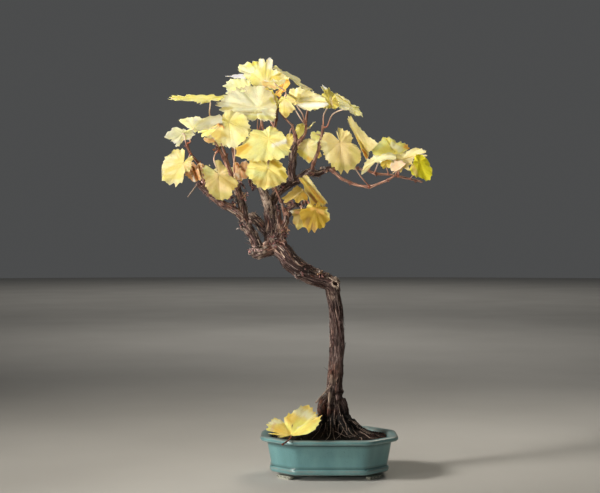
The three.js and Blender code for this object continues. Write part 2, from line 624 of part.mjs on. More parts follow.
// Each leaf: at, where the stalk meets the blade; points, which way its tip points, and faces, which
// way its upper face looks, both as right, away and up; size, from the stalk to the tip; fold of each
// half, roll of the sides, arch of the length, in degrees; ruffle of the edge; and the stalk's way,
// from its foot on the vine.
const leaves = {
  left_1: {
    at: [206.4, 100.6, -38], points: [-1, 0, 0.02], faces: [0.05, 0, 1], size: 43, arch: -8,
    stalk: [[211.8, 125, 4], [209.4, 113, -20]],
  },
  left_2: {
    at: [190.8, 126.2, -29], points: [0.97, 0.1, 0.24], faces: [-0.15, 0.32, 0.92], size: 33,
    stalk: [[186.7, 143.5, -33], [188, 137, -33]],
  },
  left_3: {
    at: [183, 132.6, -58], points: [-0.75, -0.35, -0.4], faces: [-0.4, 0.5, 0.75], size: 24,
    stalk: [[186.7, 144.5, -33], [185, 140, -48]],
  },
  left_4: {
    at: [182, 162.5, -52], points: [-0.58, 0.1, -0.8], faces: [-0.1, -1, 0.15], size: 29,
    stalk: [[190.8, 154, -31], [188.5, 158, -42]],
  },
  left_5: {
    at: [218.8, 170.8, -44], points: [0.04, 0, -1], faces: [-0.05, -1, 0.1], size: 32, width: 0.93,
    stalk: [[218.9, 150, -7], [217.6, 160, -26]],
  },
  left_6: {
    at: [229, 122, -56], points: [0.1, -0.5, -0.85], faces: [0, -0.8, 0.6], size: 34, width: 1.1,
    stalk: [[233.5, 180, -2], [234, 168, -16], [234.8, 150, -30]],
  },
  left_7: {
    at: [208, 131, 20], points: [0.9, 0.25, 0.3], faces: [-0.1, -0.4, 0.9], size: 24,
    stalk: [[215.4, 143, -8], [212.5, 137, 12]],
  },
  crown_1: {
    at: [258.6, 107.3, -28], points: [-1, -0.25, 0.1], faces: [0.1, -0.75, 0.65], size: 46,
    stalk: [[259.6, 130, -15], [257.8, 120, -21]],
  },
  crown_2: {
    at: [262.6, 105, -6], points: [0.55, 0.1, 0.8], faces: [0.2, -0.9, 0.3], size: 22,
    stalk: [[260, 128.5, -15], [261.4, 116, -6]],
  },
  crown_3: {
    at: [259, 76, 19], points: [-0.9, 0.1, 0.35], faces: [0, -0.7, 0.7], size: 27, base: 0.6,
    stalk: [[262.4, 80, 17], [261, 78, 18]],
  },
  crown_4: {
    at: [266, 84, 2], points: [0.05, 0.05, 1], faces: [0, -1, 0.1], size: 29,
    stalk: [[263.6, 91, 18], [265, 88, 8]],
  },
  crown_5: {
    at: [252, 77.8, 52], points: [-1, 0, 0.02], faces: [0, -0.14, 1], size: 31, ruffle: 0.6,
    stalk: [[262.6, 81.6, 17], [257, 81, 34]],
  },
  crown_6: {
    at: [248, 88, 22], points: [-1, 0, 0], faces: [0, -1, 0.3], size: 29,
    stalk: [[263.8, 92, 18], [255, 90.5, 22]],
  },
  crown_7: {
    at: [282.4, 93.5, -8], points: [0.55, -0.1, 0.83], faces: [-0.6, -0.7, 0.3], size: 20,
    fold: 60, base: 0.5,
    stalk: [[278.6, 99, 3], [280, 97, -2]],
  },
  crown_8: {
    at: [284, 81.5, -44], points: [-1, -0.1, -0.05], faces: [0.05, 0.14, 1], size: 25, ruffle: 0.6,
    stalk: [[277, 103, 4], [286, 93, -22]],
  },
  crown_9: {
    at: [285, 72.2, 34], points: [0.85, 0.1, -0.52], faces: [0.52, -0.1, 0.85], size: 36,
    stalk: [[279.4, 97, 2], [284.5, 84, 24]],
  },
  crown_10: {
    at: [296, 101.5, -32], points: [0.97, -0.2, 0.02], faces: [-0.1, -0.72, 0.68], size: 33, base: 0.6,
    stalk: [[305.8, 121.4, 3], [302.4, 114, -14]],
  },
  crown_11: {
    at: [284, 99, -56], points: [0.1, -0.15, -0.97], faces: [-0.1, -1, 0.1], size: 18, roll: 20,
    stalk: [[306, 124, 4], [301, 119, -46], [291, 104, -55]],
  },
  top_1: {
    at: [330, 104, -5], points: [-0.45, 0.1, 0.9], faces: [0.86, -0.4, 0.35], size: 25,
    stalk: [[322.8, 125.5, -5], [324, 114, -3]],
  },
  top_2: {
    at: [341.5, 104.5, -14], points: [0.8, -0.15, -0.52], faces: [0.45, -0.36, 0.8], size: 30,
    stalk: [[322.6, 127, -5], [333, 114, -10]],
  },
  right_1: {
    at: [339, 141.5, -58], points: [0.07, -0.05, -1], faces: [0.05, -1, 0.1], size: 35,
    stalk: [[369.4, 186.9, -6], [362, 178, -30], [350, 160, -52]],
  },
  right_2: {
    at: [363, 147.4, -8], points: [-0.5, 0, 0.86], faces: [0, -1, 0], size: 38, fold: 73, base: 0.6,
    stalk: [[368.4, 170.8, 19], [367, 156, 6]],
  },
  right_3: {
    at: [391.4, 152.8, 9], points: [-0.3, 0.5, 0.7], faces: [0.1, -0.8, 0.6], size: 25,
    width: 1.15, fold: 20,
    stalk: [[398.1, 176.4, 17], [396, 163, 14]],
  },
  right_4: {
    at: [384, 157, -30], points: [-0.9, -0.2, -0.4], faces: [-0.35, -0.45, 0.8], size: 28, arch: 45,
    stalk: [[374.2, 173.3, 19], [377.8, 164, -10]],
  },
  right_5: {
    at: [404.5, 160.5, -18], points: [0.9, -0.25, 0.35], faces: [-0.2, -0.65, 0.7], size: 24,
    stalk: [[398.1, 176.4, 17], [400.5, 167, -4]],
  },
  right_6: {
    at: [418.5, 162.5, -44], points: [0.2, -0.2, -0.95], faces: [0.3, -0.9, 0.2], size: 22, width: 0.95,
    stalk: [[410.5, 179.1, 15], [414.5, 173, -24], [417.4, 167.5, -40]],
  },
  right_7: {
    at: [386, 158, -11], points: [0, 0.1, -1], faces: [0, -1, 0], size: 13, ruffle: 0.6, base: 0.5,
    stalk: [[388, 174.8, 18], [386.6, 166, 4]],
  },
  middle_1: {
    at: [306.8, 146, 21], points: [0.15, -0.1, -0.97], faces: [-0.1, -0.95, 0.2], size: 20,
    stalk: [[299.4, 145, 33], [303, 146, 27]],
  },
  middle_2: {
    at: [301, 127.5, 18], points: [0, 0, -1], faces: [0, -1, 0], size: 15,
    stalk: [[304.6, 129, 38], [302.6, 128, 28]],
  },
  middle_3: {
    at: [288, 136, 26], points: [0, 0, -1], faces: [-0.2, -1, 0], size: 13,
    stalk: [[293, 128, 7], [290, 131.5, 18]],
  },
  middle_4: {
    at: [316, 134.5, 8], points: [0.1, 0, -1], faces: [0, -1, 0.2], size: 9, ruffle: 0.4,
    stalk: [[321.6, 136, -2], [318.4, 135, 4]],
  },
  middle_5: {
    at: [309.5, 126.6, -2], points: [0.7, 0, 0.65], faces: [-0.65, -0.12, 0.7], size: 9, ruffle: 0.4,
    stalk: [[306.2, 129, 5], [307.8, 128, 0]],
  },
  front_1: {
    at: [268.5, 139, -74], points: [-0.88, -0.12, -0.42], faces: [0.05, -0.85, 0.5], size: 40,
    stalk: [[270.5, 142, 5], [269, 141, -36]],
  },
  front_2: {
    at: [268, 167.5, -84], points: [-0.08, -0.3, -0.93], faces: [0, -0.93, 0.35], size: 25, width: 1.3,
    stalk: [[272, 181.5, -26], [270, 174, -56]],
  },
  low_1: {
    at: [307.4, 183.4, 2], points: [0.64, 0, -0.77], faces: [0, -1, 0], size: 29, fold: 76, base: 0.6,
    stalk: [[307.4, 202.6, -4], [304, 192, 6]],
  },
  low_2: {
    at: [302, 191, -36], points: [-0.9, -0.1, -0.4], faces: [0.2, -0.9, 0.5], size: 20, fold: 30,
    stalk: [[304, 203.4, -4], [303.6, 197, -20]],
  },
  low_3: {
    at: [316, 209.5, -26], points: [-0.05, -0.2, -1], faces: [0, -1, 0.15], size: 25, width: 1.05,
    stalk: [[308, 202.3, -4], [312, 204.5, -15]],
  },
  low_4: {
    at: [302.5, 212.5, -14], points: [-0.3, 0, -0.93], faces: [0, -1, 0.2], size: 17,
    stalk: [[300, 204, -5], [301, 208, -10]],
  },
  back_1: {
    at: [255, 100, 60], points: [-0.3, 0.9, -0.1], faces: [0, 0.3, 0.95], size: 38,
    stalk: [[257.6, 104, 46], [256.5, 102, 53]],
  },
  back_2: {
    at: [262, 146, 62], points: [0, 0.75, -0.6], faces: [0.1, 0.7, 0.7], size: 33,
    stalk: [[266, 146, 40], [265, 144.5, 50]],
  },
  back_3: {
    at: [229, 130, 62], points: [-0.4, 0.75, -0.5], faces: [-0.2, 0.7, 0.7], size: 36,
    stalk: [[231.5, 135, 38], [230.5, 132, 50]],
  },
  back_4: {
    at: [222, 174, 34], points: [-0.45, 0.6, -0.6], faces: [-0.1, 0.8, 0.6], size: 31,
    stalk: [[236.6, 178, 13], [230, 176, 26]],
  },
  back_5: {
    at: [268, 172, 52], points: [-0.05, 0.7, -0.7], faces: [0, 0.75, 0.65], size: 30,
    stalk: [[269.6, 169, 32], [269, 171, 42]],
  },
  back_6: {
    at: [341, 150, 40], points: [0.2, 0.75, -0.6], faces: [0.1, 0.6, 0.75], size: 30,
    stalk: [[343, 167.4, 13], [343, 158, 26]],
  },
  back_7: {
    at: [308, 99, 52], points: [0.3, 0.9, -0.3], faces: [0.1, 0.4, 0.9], size: 32,
    stalk: [[308.4, 105, 41], [308.2, 102, 46]],
  },
  back_8: {
    at: [262, 88, 48], points: [0.1, 0.95, 0.1], faces: [0, -0.05, 1], size: 28,
    stalk: [[262.8, 83, 17], [262.4, 85, 32]],
  },
  back_9: {
    at: [394, 154, 42], points: [0.3, 0.85, -0.4], faces: [0.2, 0.5, 0.8], size: 27,
    stalk: [[397, 176.2, 17], [395, 163, 30]],
  },
  dry_1: {
    at: [195.8, 168.5, -39], points: [-0.1, -0.1, -1], faces: [0.2, -1, 0], size: 15,
    roll: 75, arch: 30,
    stalk: [[200.4, 165, -27], [198, 166, -34]],
  },
  dry_2: {
    at: [211.4, 139.4, -14], points: [-0.9, -0.3, 0.1], faces: [0, -0.5, 0.85], size: 10,
    roll: 60, ruffle: 0.5,
    stalk: [[215.6, 143.4, -8], [213.2, 141, -12]],
  },
  dry_3: {
    at: [240.6, 168, -18], points: [0.1, -0.1, -1], faces: [-0.2, -1, 0], size: 15, roll: 70, arch: -30,
    stalk: [[236, 176, 3], [238.6, 171, -9]],
  },
  dry_4: {
    at: [397, 169.5, -36], points: [0.6, -0.2, 0.4], faces: [-0.3, -0.8, 0.4], size: 13,
    fold: 55, ruffle: 0.5,
    stalk: [[396.4, 174.4, -17], [396.6, 171.5, -27]],
  },
  fallen: {
    at: [291, 434.9, -48], points: [0.66, 0.45, 0.53], faces: [-0.42, -0.6, 0.55], size: 44,
    width: 1.08, fold: 20, base: 0.55, loose: true,
    stalk: [[281.6, 443.2, -69], [287, 438.6, -60]],
  },
};

// Assembly

const colours = {
  glaze: { color: 0x5f9287, roughness: 0.3, metalness: 0 },
  soil: { color: 0x1f1712, roughness: 0.95, metalness: 0 },
  screen: { color: 0x23262a, roughness: 0.6, metalness: 0 },
  wood: { color: 0x4a352b, roughness: 0.9, metalness: 0 },
  pale: { color: 0xefe6a0, roughness: 0.6, metalness: 0 },
  dry: { color: 0xb07a3c, roughness: 0.75, metalness: 0 },
};

const root = new THREE.Group();

function addPiece(name, manifold, colour) {
  const mesh = new THREE.Mesh(geometryOf(manifold), new THREE.MeshStandardMaterial(colours[colour]));
  mesh.name = name;
  root.add(mesh);
}

addPiece('pot', makePot(), 'glaze');
addPiece('soil', makeSoil(), 'soil');
addPiece('drain_screen_left', makeScreen(-drainAcross), 'screen');
addPiece('drain_screen_right', makeScreen(drainAcross), 'screen');
addPiece('vine', makeVine(), 'wood');
Object.entries(leaves).forEach(([name, leaf], seed) => {
  addPiece(`leaf_${name}`, makeLeaf({ ...leaf, seed }), name.startsWith('dry') ? 'dry' : 'pale');
});

// The origin is under the middle of the whole, where the feet stand.
const box = new THREE.Box3().setFromObject(root);
root.position.set(-(box.min.x + box.max.x) / 2, -(box.min.y + box.max.y) / 2, -box.min.z);

export default root;
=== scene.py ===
import math
import random

import bpy
import numpy as np
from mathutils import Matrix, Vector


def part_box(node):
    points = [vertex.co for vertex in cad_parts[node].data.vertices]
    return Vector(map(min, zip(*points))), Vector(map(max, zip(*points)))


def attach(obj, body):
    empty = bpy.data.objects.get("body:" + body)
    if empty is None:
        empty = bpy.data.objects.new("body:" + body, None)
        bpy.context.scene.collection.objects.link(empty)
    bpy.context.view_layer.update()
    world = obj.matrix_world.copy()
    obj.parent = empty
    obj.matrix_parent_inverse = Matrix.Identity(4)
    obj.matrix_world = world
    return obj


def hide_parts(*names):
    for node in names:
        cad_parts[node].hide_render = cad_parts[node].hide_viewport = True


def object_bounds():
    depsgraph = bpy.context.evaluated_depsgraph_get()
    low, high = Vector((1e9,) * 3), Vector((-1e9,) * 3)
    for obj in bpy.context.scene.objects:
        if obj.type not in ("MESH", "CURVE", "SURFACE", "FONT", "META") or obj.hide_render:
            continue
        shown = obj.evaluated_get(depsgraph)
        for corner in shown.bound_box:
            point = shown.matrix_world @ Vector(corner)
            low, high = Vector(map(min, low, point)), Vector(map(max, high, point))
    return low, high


# A grapevine grown as a bonsai, in autumn leaf, in its glazed pot. Lengths are in millimetres from
# the pot's middle until a mesh is written, and the side it is looked at from is -Y.

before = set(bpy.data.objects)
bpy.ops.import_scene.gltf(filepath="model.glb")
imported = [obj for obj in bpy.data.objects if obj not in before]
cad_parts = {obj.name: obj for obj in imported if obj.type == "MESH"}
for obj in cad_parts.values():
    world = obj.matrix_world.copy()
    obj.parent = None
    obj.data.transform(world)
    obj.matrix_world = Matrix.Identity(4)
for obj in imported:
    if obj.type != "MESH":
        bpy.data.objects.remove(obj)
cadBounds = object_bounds()
bpy.ops.object.select_all(action="DESELECT")
scene = bpy.context.scene
random.seed(7)
chance = np.random.default_rng(7)

mm = 0.001
potLow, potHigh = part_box("pot")
potMiddle = np.array([(potLow.x + potHigh.x) / 2, (potLow.y + potHigh.y) / 2, 0])
boxLow, boxHigh = (np.array(corner) for corner in cadBounds)

# Camera: level, where the photograph was taken from. "pixel" is how many millimetres one pixel of
# the picture's width is at the pot's middle, and "middle" the pixel that the camera looks at.
view = {"distance": 1402, "height": 267, "right": -34.1, "pixel": 1.176, "middle": (300, 246.5),
        "width": 600, "sensor": 36, "reach": 60}

camera = bpy.data.objects.new("camera", bpy.data.cameras.new("camera"))
scene.collection.objects.link(camera)
camera.location = potMiddle + np.array([view["right"], -view["distance"], view["height"]]) * mm
camera.rotation_euler = (math.pi / 2, 0, 0)
camera.data.sensor_width = view["sensor"]
camera.data.lens = view["sensor"] * view["distance"] / (view["width"] * view["pixel"])
camera.data.clip_end = view["reach"]
scene.camera = camera


def seen(spots):  # pixels across and down, and millimetres behind the pot's middle, as a place
    spots = np.array(spots, float)
    scale = view["pixel"] * (view["distance"] + spots[..., 2]) / view["distance"]
    x = view["right"] + (spots[..., 0] - view["middle"][0]) * scale
    z = view["height"] + (view["middle"][1] - spots[..., 1]) * scale
    return np.stack([x, spots[..., 2], z], axis=-1)


print("camera set")


# Small tools

def unit(vectors):
    return vectors / np.maximum(np.linalg.norm(vectors, axis=-1, keepdims=True), 1e-9)


def smoothStep(share):
    share = np.clip(share, 0, 1)
    return share * share * (3 - 2 * share)


def blend(first, second, share):
    return first * (1 - share[..., None]) + second * share[..., None]


def scrambled(number):  # the last digits of a large sine, which look random
    wave = np.sin(number) * 43758.5453
    return wave - np.floor(wave)


def draw(seed, key):  # an even draw from 0 to 1 that only depends on its two numbers
    return scrambled(seed * 12.9898 + np.asarray(key, float) * 78.233)


def cloud(places, seed=0):  # smooth noise from 0 to 1, one swell to each unit of length
    cell = np.floor(places)
    part = smoothStep(places - cell)
    total = np.zeros(len(places))
    for corner in range(8):
        offset = np.array([corner & 1, corner >> 1 & 1, corner >> 2 & 1])
        weight = np.prod(np.where(offset == 1, part, 1 - part), axis=1)
        total += weight * scrambled((cell + offset) @ np.array([127.1, 311.7, 74.7]) + seed * 53.1)
    return total


def ridged(places, seed=0):  # crests at 1 with hollows down to 0 between them
    return 1 - np.abs(2 * cloud(places, seed) - 1)


def colour(code):  # sRGB hex to the linear colour that the shaders use
    parts = [int(code[i:i + 2], 16) / 255 for i in (1, 3, 5)]
    return tuple(p / 12.92 if p <= 0.04045 else ((p + 0.055) / 1.055) ** 2.4 for p in parts) + (1.0,)


def tones(codes):  # named hex colours as linear ones
    return {name: np.array(colour(code)) for name, code in codes.items()}


def smoothWay(points, step, values=None):  # a soft curve through points in even steps, its values and marks
    points = np.asarray(points, float)
    last = len(points) - 1
    values = np.ones(len(points)) if values is None else values
    ahead = np.vstack([2 * points[0] - points[1], points, 2 * points[-1] - points[-2]])
    spread = np.linspace(0, last, last * 30 + 1)
    index = np.minimum(spread.astype(int), last - 1)
    share = (spread - index)[:, None]
    p0, p1, p2, p3 = (ahead[index + k] for k in range(4))
    gap = [np.linalg.norm(b - a, axis=1, keepdims=True) ** 0.5 for a, b in ((p0, p1), (p1, p2), (p2, p3))]
    leave = (p1 - p0) / gap[0] - (p2 - p0) / (gap[0] + gap[1]) + (p2 - p1) / gap[1]
    arrive = (p2 - p1) / gap[1] - (p3 - p1) / (gap[1] + gap[2]) + (p3 - p2) / gap[2]
    leave = leave * gap[1]
    arrive = arrive * gap[1]
    way = p1 + leave * share + (3 * p2 - 3 * p1 - 2 * leave - arrive) * share ** 2
    way = way + (2 * p1 - 2 * p2 + leave + arrive) * share ** 3
    length = np.concatenate([[0], np.cumsum(np.linalg.norm(np.diff(way, axis=0), axis=1))])
    marks = np.linspace(0, length[-1], max(2, round(length[-1] / step)) + 1)
    even = np.stack([np.interp(marks, length, way[:, k]) for k in range(3)], axis=1)
    return even, np.interp(np.interp(marks, length, spread), np.arange(last + 1), values), marks


def limbWay(limb, step):  # a limb's middle line in even steps, with its radii and how far along they are
    rows = np.array(limb, float)
    return smoothWay(seen(rows), step, rows[:, 3])


def framesAlong(centres):  # the way on, and two directions across it that turn as little as they can
    onward = unit(np.gradient(centres, axis=0))
    start = np.cross(onward[0], (0.3, 0.8, 0.52))
    side = [start / np.linalg.norm(start)]
    for i in range(1, len(centres)):
        turned = side[-1] - onward[i] * (side[-1] @ onward[i])
        side.append(turned / np.linalg.norm(turned))
    side = np.array(side)
    return onward, side, np.cross(onward, side)


def turnedFlat(points, angle):  # turned about the upright axis
    return np.column_stack([points[:, 0] * math.cos(angle) - points[:, 1] * math.sin(angle),
                            points[:, 0] * math.sin(angle) + points[:, 1] * math.cos(angle), points[:, 2]])


class Shell:  # points and faces of closed forms, gathered into one piece
    def __init__(self):
        self.points, self.faces, self.slots, self.facts = [], [], [], {}
        self.count = 0

    def add(self, points, faces, slot=0, **facts):
        volume = 0
        for corners in ((0, 1, 2), (0, 2, 3)):
            part = [face for face in faces if len(face) > corners[2]]
            if part:
                a, b, c = (points[[face[k] for face in part]] for k in corners)
                volume += np.einsum("ij,ij->", a, np.cross(b - a, c - a))
        turn = 1 if volume > 0 else -1
        self.points.append(points)
        self.faces += [tuple(k + self.count for k in face[::turn]) for face in faces]
        self.slots += [slot] * len(faces)
        for name, values in facts.items():
            values = np.asarray(values, float)
            if values.shape[:1] != (len(points),):  # one value for the whole form
                values = np.broadcast_to(values, (len(points),) + values.shape)
            self.facts.setdefault(name, []).append(values)
        self.count += len(points)

    def piece(self, name, materials, angle=50):
        return newPiece(name, np.vstack(self.points), self.faces, materials, self.slots,
                        {key: np.concatenate(values) for key, values in self.facts.items()}, angle)


def writeFacts(mesh, facts):  # what the materials read at each point
    for key, values in facts.items():
        kind, field = {1: ("FLOAT", "value"), 3: ("FLOAT_VECTOR", "vector"),
                       4: ("FLOAT_COLOR", "color")}[1 if values.ndim == 1 else values.shape[1]]
        layer = mesh.attributes.new(key, kind, "POINT")
        layer.data.foreach_set(field, values.astype(np.float32).ravel())


def newPiece(name, points, faces, materials, slots=None, facts=None, angle=50):
    mesh = bpy.data.meshes.new(name)
    places = np.clip(potMiddle + points * mm, boxLow, boxHigh)
    mesh.from_pydata(places.tolist(), [], faces)
    for material in materials:
        mesh.materials.append(material)
    if slots is not None:
        mesh.polygons.foreach_set("material_index", slots)
    writeFacts(mesh, facts or {})
    mesh.shade_smooth()
    mesh.set_sharp_from_angle(angle=math.radians(angle))
    mesh.update()
    piece = bpy.data.objects.new(name, mesh)
    scene.collection.objects.link(piece)
    return piece


def finish(piece, slot, *nodes):
    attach(piece, "root")
    if nodes:
        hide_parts(*nodes)


def takeMesh(piece):  # the points and faces of a helper piece, which goes
    points = np.array([vertex.co[:] for vertex in piece.data.vertices])
    faces = [tuple(face.vertices) for face in piece.data.polygons]
    bpy.data.objects.remove(piece)
    return points, faces


def applyModifier(piece, modifier):
    bpy.context.view_layer.objects.active = piece
    bpy.ops.object.modifier_apply(modifier=modifier.name)


def cutAway(piece, tool, name):
    cut = piece.modifiers.new(name, "BOOLEAN")
    cut.operation = "DIFFERENCE"
    cut.object = tool
    applyModifier(piece, cut)
    bpy.data.objects.remove(tool)


def ringFaces(rings, sides):  # the skin between rings of points, closed with a point at each end
    faces = []
    for j in range(rings - 1):
        for i in range(sides):
            k = (i + 1) % sides
            faces.append((j * sides + i, j * sides + k, (j + 1) * sides + k, (j + 1) * sides + i))
    for i in range(sides):
        k = (i + 1) % sides
        faces.append((rings * sides, k, i))
        faces.append((rings * sides + 1, (rings - 1) * sides + i, (rings - 1) * sides + k))
    return faces


def tube(centres, radii, sides):  # radii for each ring, or for each point of each ring
    onward, side, out = framesAlong(centres)
    angles = np.arange(sides) * 2 * math.pi / sides
    radii = np.broadcast_to(np.asarray(radii, float).reshape(len(centres), -1), (len(centres), sides))
    ring = side[:, None] * np.cos(angles)[None, :, None] + out[:, None] * np.sin(angles)[None, :, None]
    points = centres[:, None] + ring * radii[..., None]
    bulge = 0.45  # of the ends, as a share of the radius
    ends = np.array([centres[0] - onward[0] * radii[0].mean() * bulge,
                     centres[-1] + onward[-1] * radii[-1].mean() * bulge])
    return np.vstack([points.reshape(-1, 3), ends]), ringFaces(len(centres), sides)


def addNode(tree, kind, settings=None, links=None):
    # kind may be a node that is there. A link comes from a node, or from a (node, output) pair.
    node = tree.nodes.new("ShaderNode" + kind) if isinstance(kind, str) else kind
    for key, value in (settings or {}).items():
        if key == "stops":  # of a colour ramp: place and hex
            elements = node.color_ramp.elements
            while len(elements) < len(value):
                elements.new(0.5)
            for element, (place, code) in zip(elements, value):
                element.position = place
                element.color = colour(code)
        elif isinstance(key, int) or key in node.inputs:
            node.inputs[key].default_value = value
        else:
            setattr(node, key, value)
    for key, source in (links or {}).items():
        origin, output = source if isinstance(source, tuple) else (source, 0)
        tree.links.new(origin.outputs[output], node.inputs[key])
    return node


def newMaterial(name):
    material = bpy.data.materials.new(name)
    material.use_nodes = True
    tree = material.node_tree
    return material, tree, tree.nodes["Principled BSDF"]


# Materials

def makeLeafMaterial():
    # Vine leaf in autumn: the green has gone and left a pale waxy yellow that lets the light through,
    # with veins that keep their colour longest. The tint of each place comes with the mesh.
    material, tree, shader = newMaterial("autumnVineLeaf")
    tint = addNode(tree, "Attribute", {"attribute_name": "tint"})
    veins = addNode(tree, "Attribute", {"attribute_name": "veins"})
    parts = addNode(tree, "SeparateXYZ", links={0: (veins, "Vector")})
    place = addNode(tree, "TexCoord")
    # main ribs: 0.8 mm wide at the stalk and 0.25 mm at the edge
    width = addNode(tree, "Math", {"operation": "MULTIPLY_ADD", 1: -0.55, 2: 0.8}, {0: (parts, "Z")})
    ribs = addNode(tree, "MapRange", {"interpolation_type": "SMOOTHSTEP", "From Min": 0.0, "To Min": 1.0,
                                      "To Max": 0.0}, {"Value": (parts, "Y"), "From Max": width})
    # side veins leave the ribs every few millimetres and fade towards the edge
    wave = addNode(tree, "Math", {"operation": "PINGPONG", 1: 0.5}, {0: (parts, "X")})
    side = addNode(tree, "MapRange", {"interpolation_type": "SMOOTHSTEP", "From Max": 0.09, "To Min": 0.5,
                                      "To Max": 0.0}, {"Value": wave})
    veined = addNode(tree, "Math", {"operation": "MAXIMUM"}, {0: ribs, 1: side})
    # the finest net of veins, 2 mm across its meshes
    net = addNode(tree, "TexVoronoi", {"feature": "DISTANCE_TO_EDGE", "Scale": 480.0},
                  {"Vector": (place, "Object")})
    netLine = addNode(tree, "MapRange", {"From Max": 0.09, "To Min": 0.25, "To Max": 0.0}, {"Value": net})
    mottle = addNode(tree, "TexNoise", {"Scale": 160.0, "Detail": 4.0, "Roughness": 0.6},
                     {"Vector": (place, "Object")})
    deeper = addNode(tree, "HueSaturation", {"Saturation": 1.12, "Value": 0.86, "Hue": 0.496},
                     {"Color": tint})
    mottleShare = addNode(tree, "MapRange", {"From Min": 0.42, "From Max": 0.72, "To Max": 0.55},
                          {"Value": mottle})
    mottled = addNode(tree, "Mix", {"data_type": "RGBA"}, {0: mottleShare, 6: tint, 7: deeper})
    veinColour = addNode(tree, "HueSaturation", {"Saturation": 1.2, "Value": 0.78, "Hue": 0.504},
                         {"Color": tint})
    lines = addNode(tree, "Math", {"operation": "ADD", "use_clamp": True}, {0: veined, 1: netLine})
    lineShare = addNode(tree, "Math", {"operation": "MULTIPLY", 1: 0.2}, {0: lines})
    drawn = addNode(tree, "Mix", {"data_type": "RGBA"}, {0: lineShare, 6: (mottled, 2), 7: veinColour})
    crinkle = addNode(tree, "TexNoise", {"Scale": 420.0, "Detail": 3.0}, {"Vector": (place, "Object")})
    height = addNode(tree, "Math", {"operation": "MULTIPLY_ADD", 1: -0.6}, {0: lines, 2: crinkle})
    bump = addNode(tree, "Bump", {"Strength": 0.3, "Distance": 0.0005}, {"Height": height})
    addNode(tree, shader, {"Roughness": 0.52, "IOR": 1.45, "Subsurface Weight": 0.9,
                           "Subsurface Radius": (1.0, 0.93, 0.55), "Subsurface Scale": 0.002,
                           "Specular IOR Level": 0.3}, {"Base Color": (drawn, 2), "Normal": bump})
    return material


def makeStalkMaterial():
    # Leaf stalk: smooth and juicy, pinkish white with a redder foot.
    material, tree, shader = newMaterial("leafStalk")
    tint = addNode(tree, "Attribute", {"attribute_name": "tint"})
    place = addNode(tree, "TexCoord")
    mottle = addNode(tree, "TexNoise", {"Scale": 300.0, "Detail": 3.0}, {"Vector": (place, "Object")})
    darker = addNode(tree, "HueSaturation", {"Saturation": 1.15, "Value": 0.72}, {"Color": tint})
    mixed = addNode(tree, "Mix", {"data_type": "RGBA"}, {0: mottle, 6: tint, 7: darker})
    addNode(tree, shader, {"Roughness": 0.45, "Subsurface Weight": 0.15,
                           "Subsurface Radius": (1.0, 0.6, 0.4), "Subsurface Scale": 0.001},
            {"Base Color": (mixed, 2)})
    return material


def makeScrapMaterial():
    # Dry papery scraps: dull, brittle and streaked, tan to rust. The tint comes with the mesh.
    material, tree, shader = newMaterial("driedLeafScraps")
    tint = addNode(tree, "Attribute", {"attribute_name": "tint"})
    place = addNode(tree, "TexCoord")
    streaks = addNode(tree, "TexNoise", {"Scale": 900.0, "Detail": 3.0}, {"Vector": (place, "Object")})
    darker = addNode(tree, "HueSaturation", {"Value": 0.55}, {"Color": tint})
    share = addNode(tree, "MapRange", {"From Min": 0.4, "From Max": 0.65, "To Max": 0.8},
                    {"Value": streaks})
    mixed = addNode(tree, "Mix", {"data_type": "RGBA"}, {0: share, 6: tint, 7: darker})
    addNode(tree, shader, {"Roughness": 0.75}, {"Base Color": (mixed, 2)})
    return material


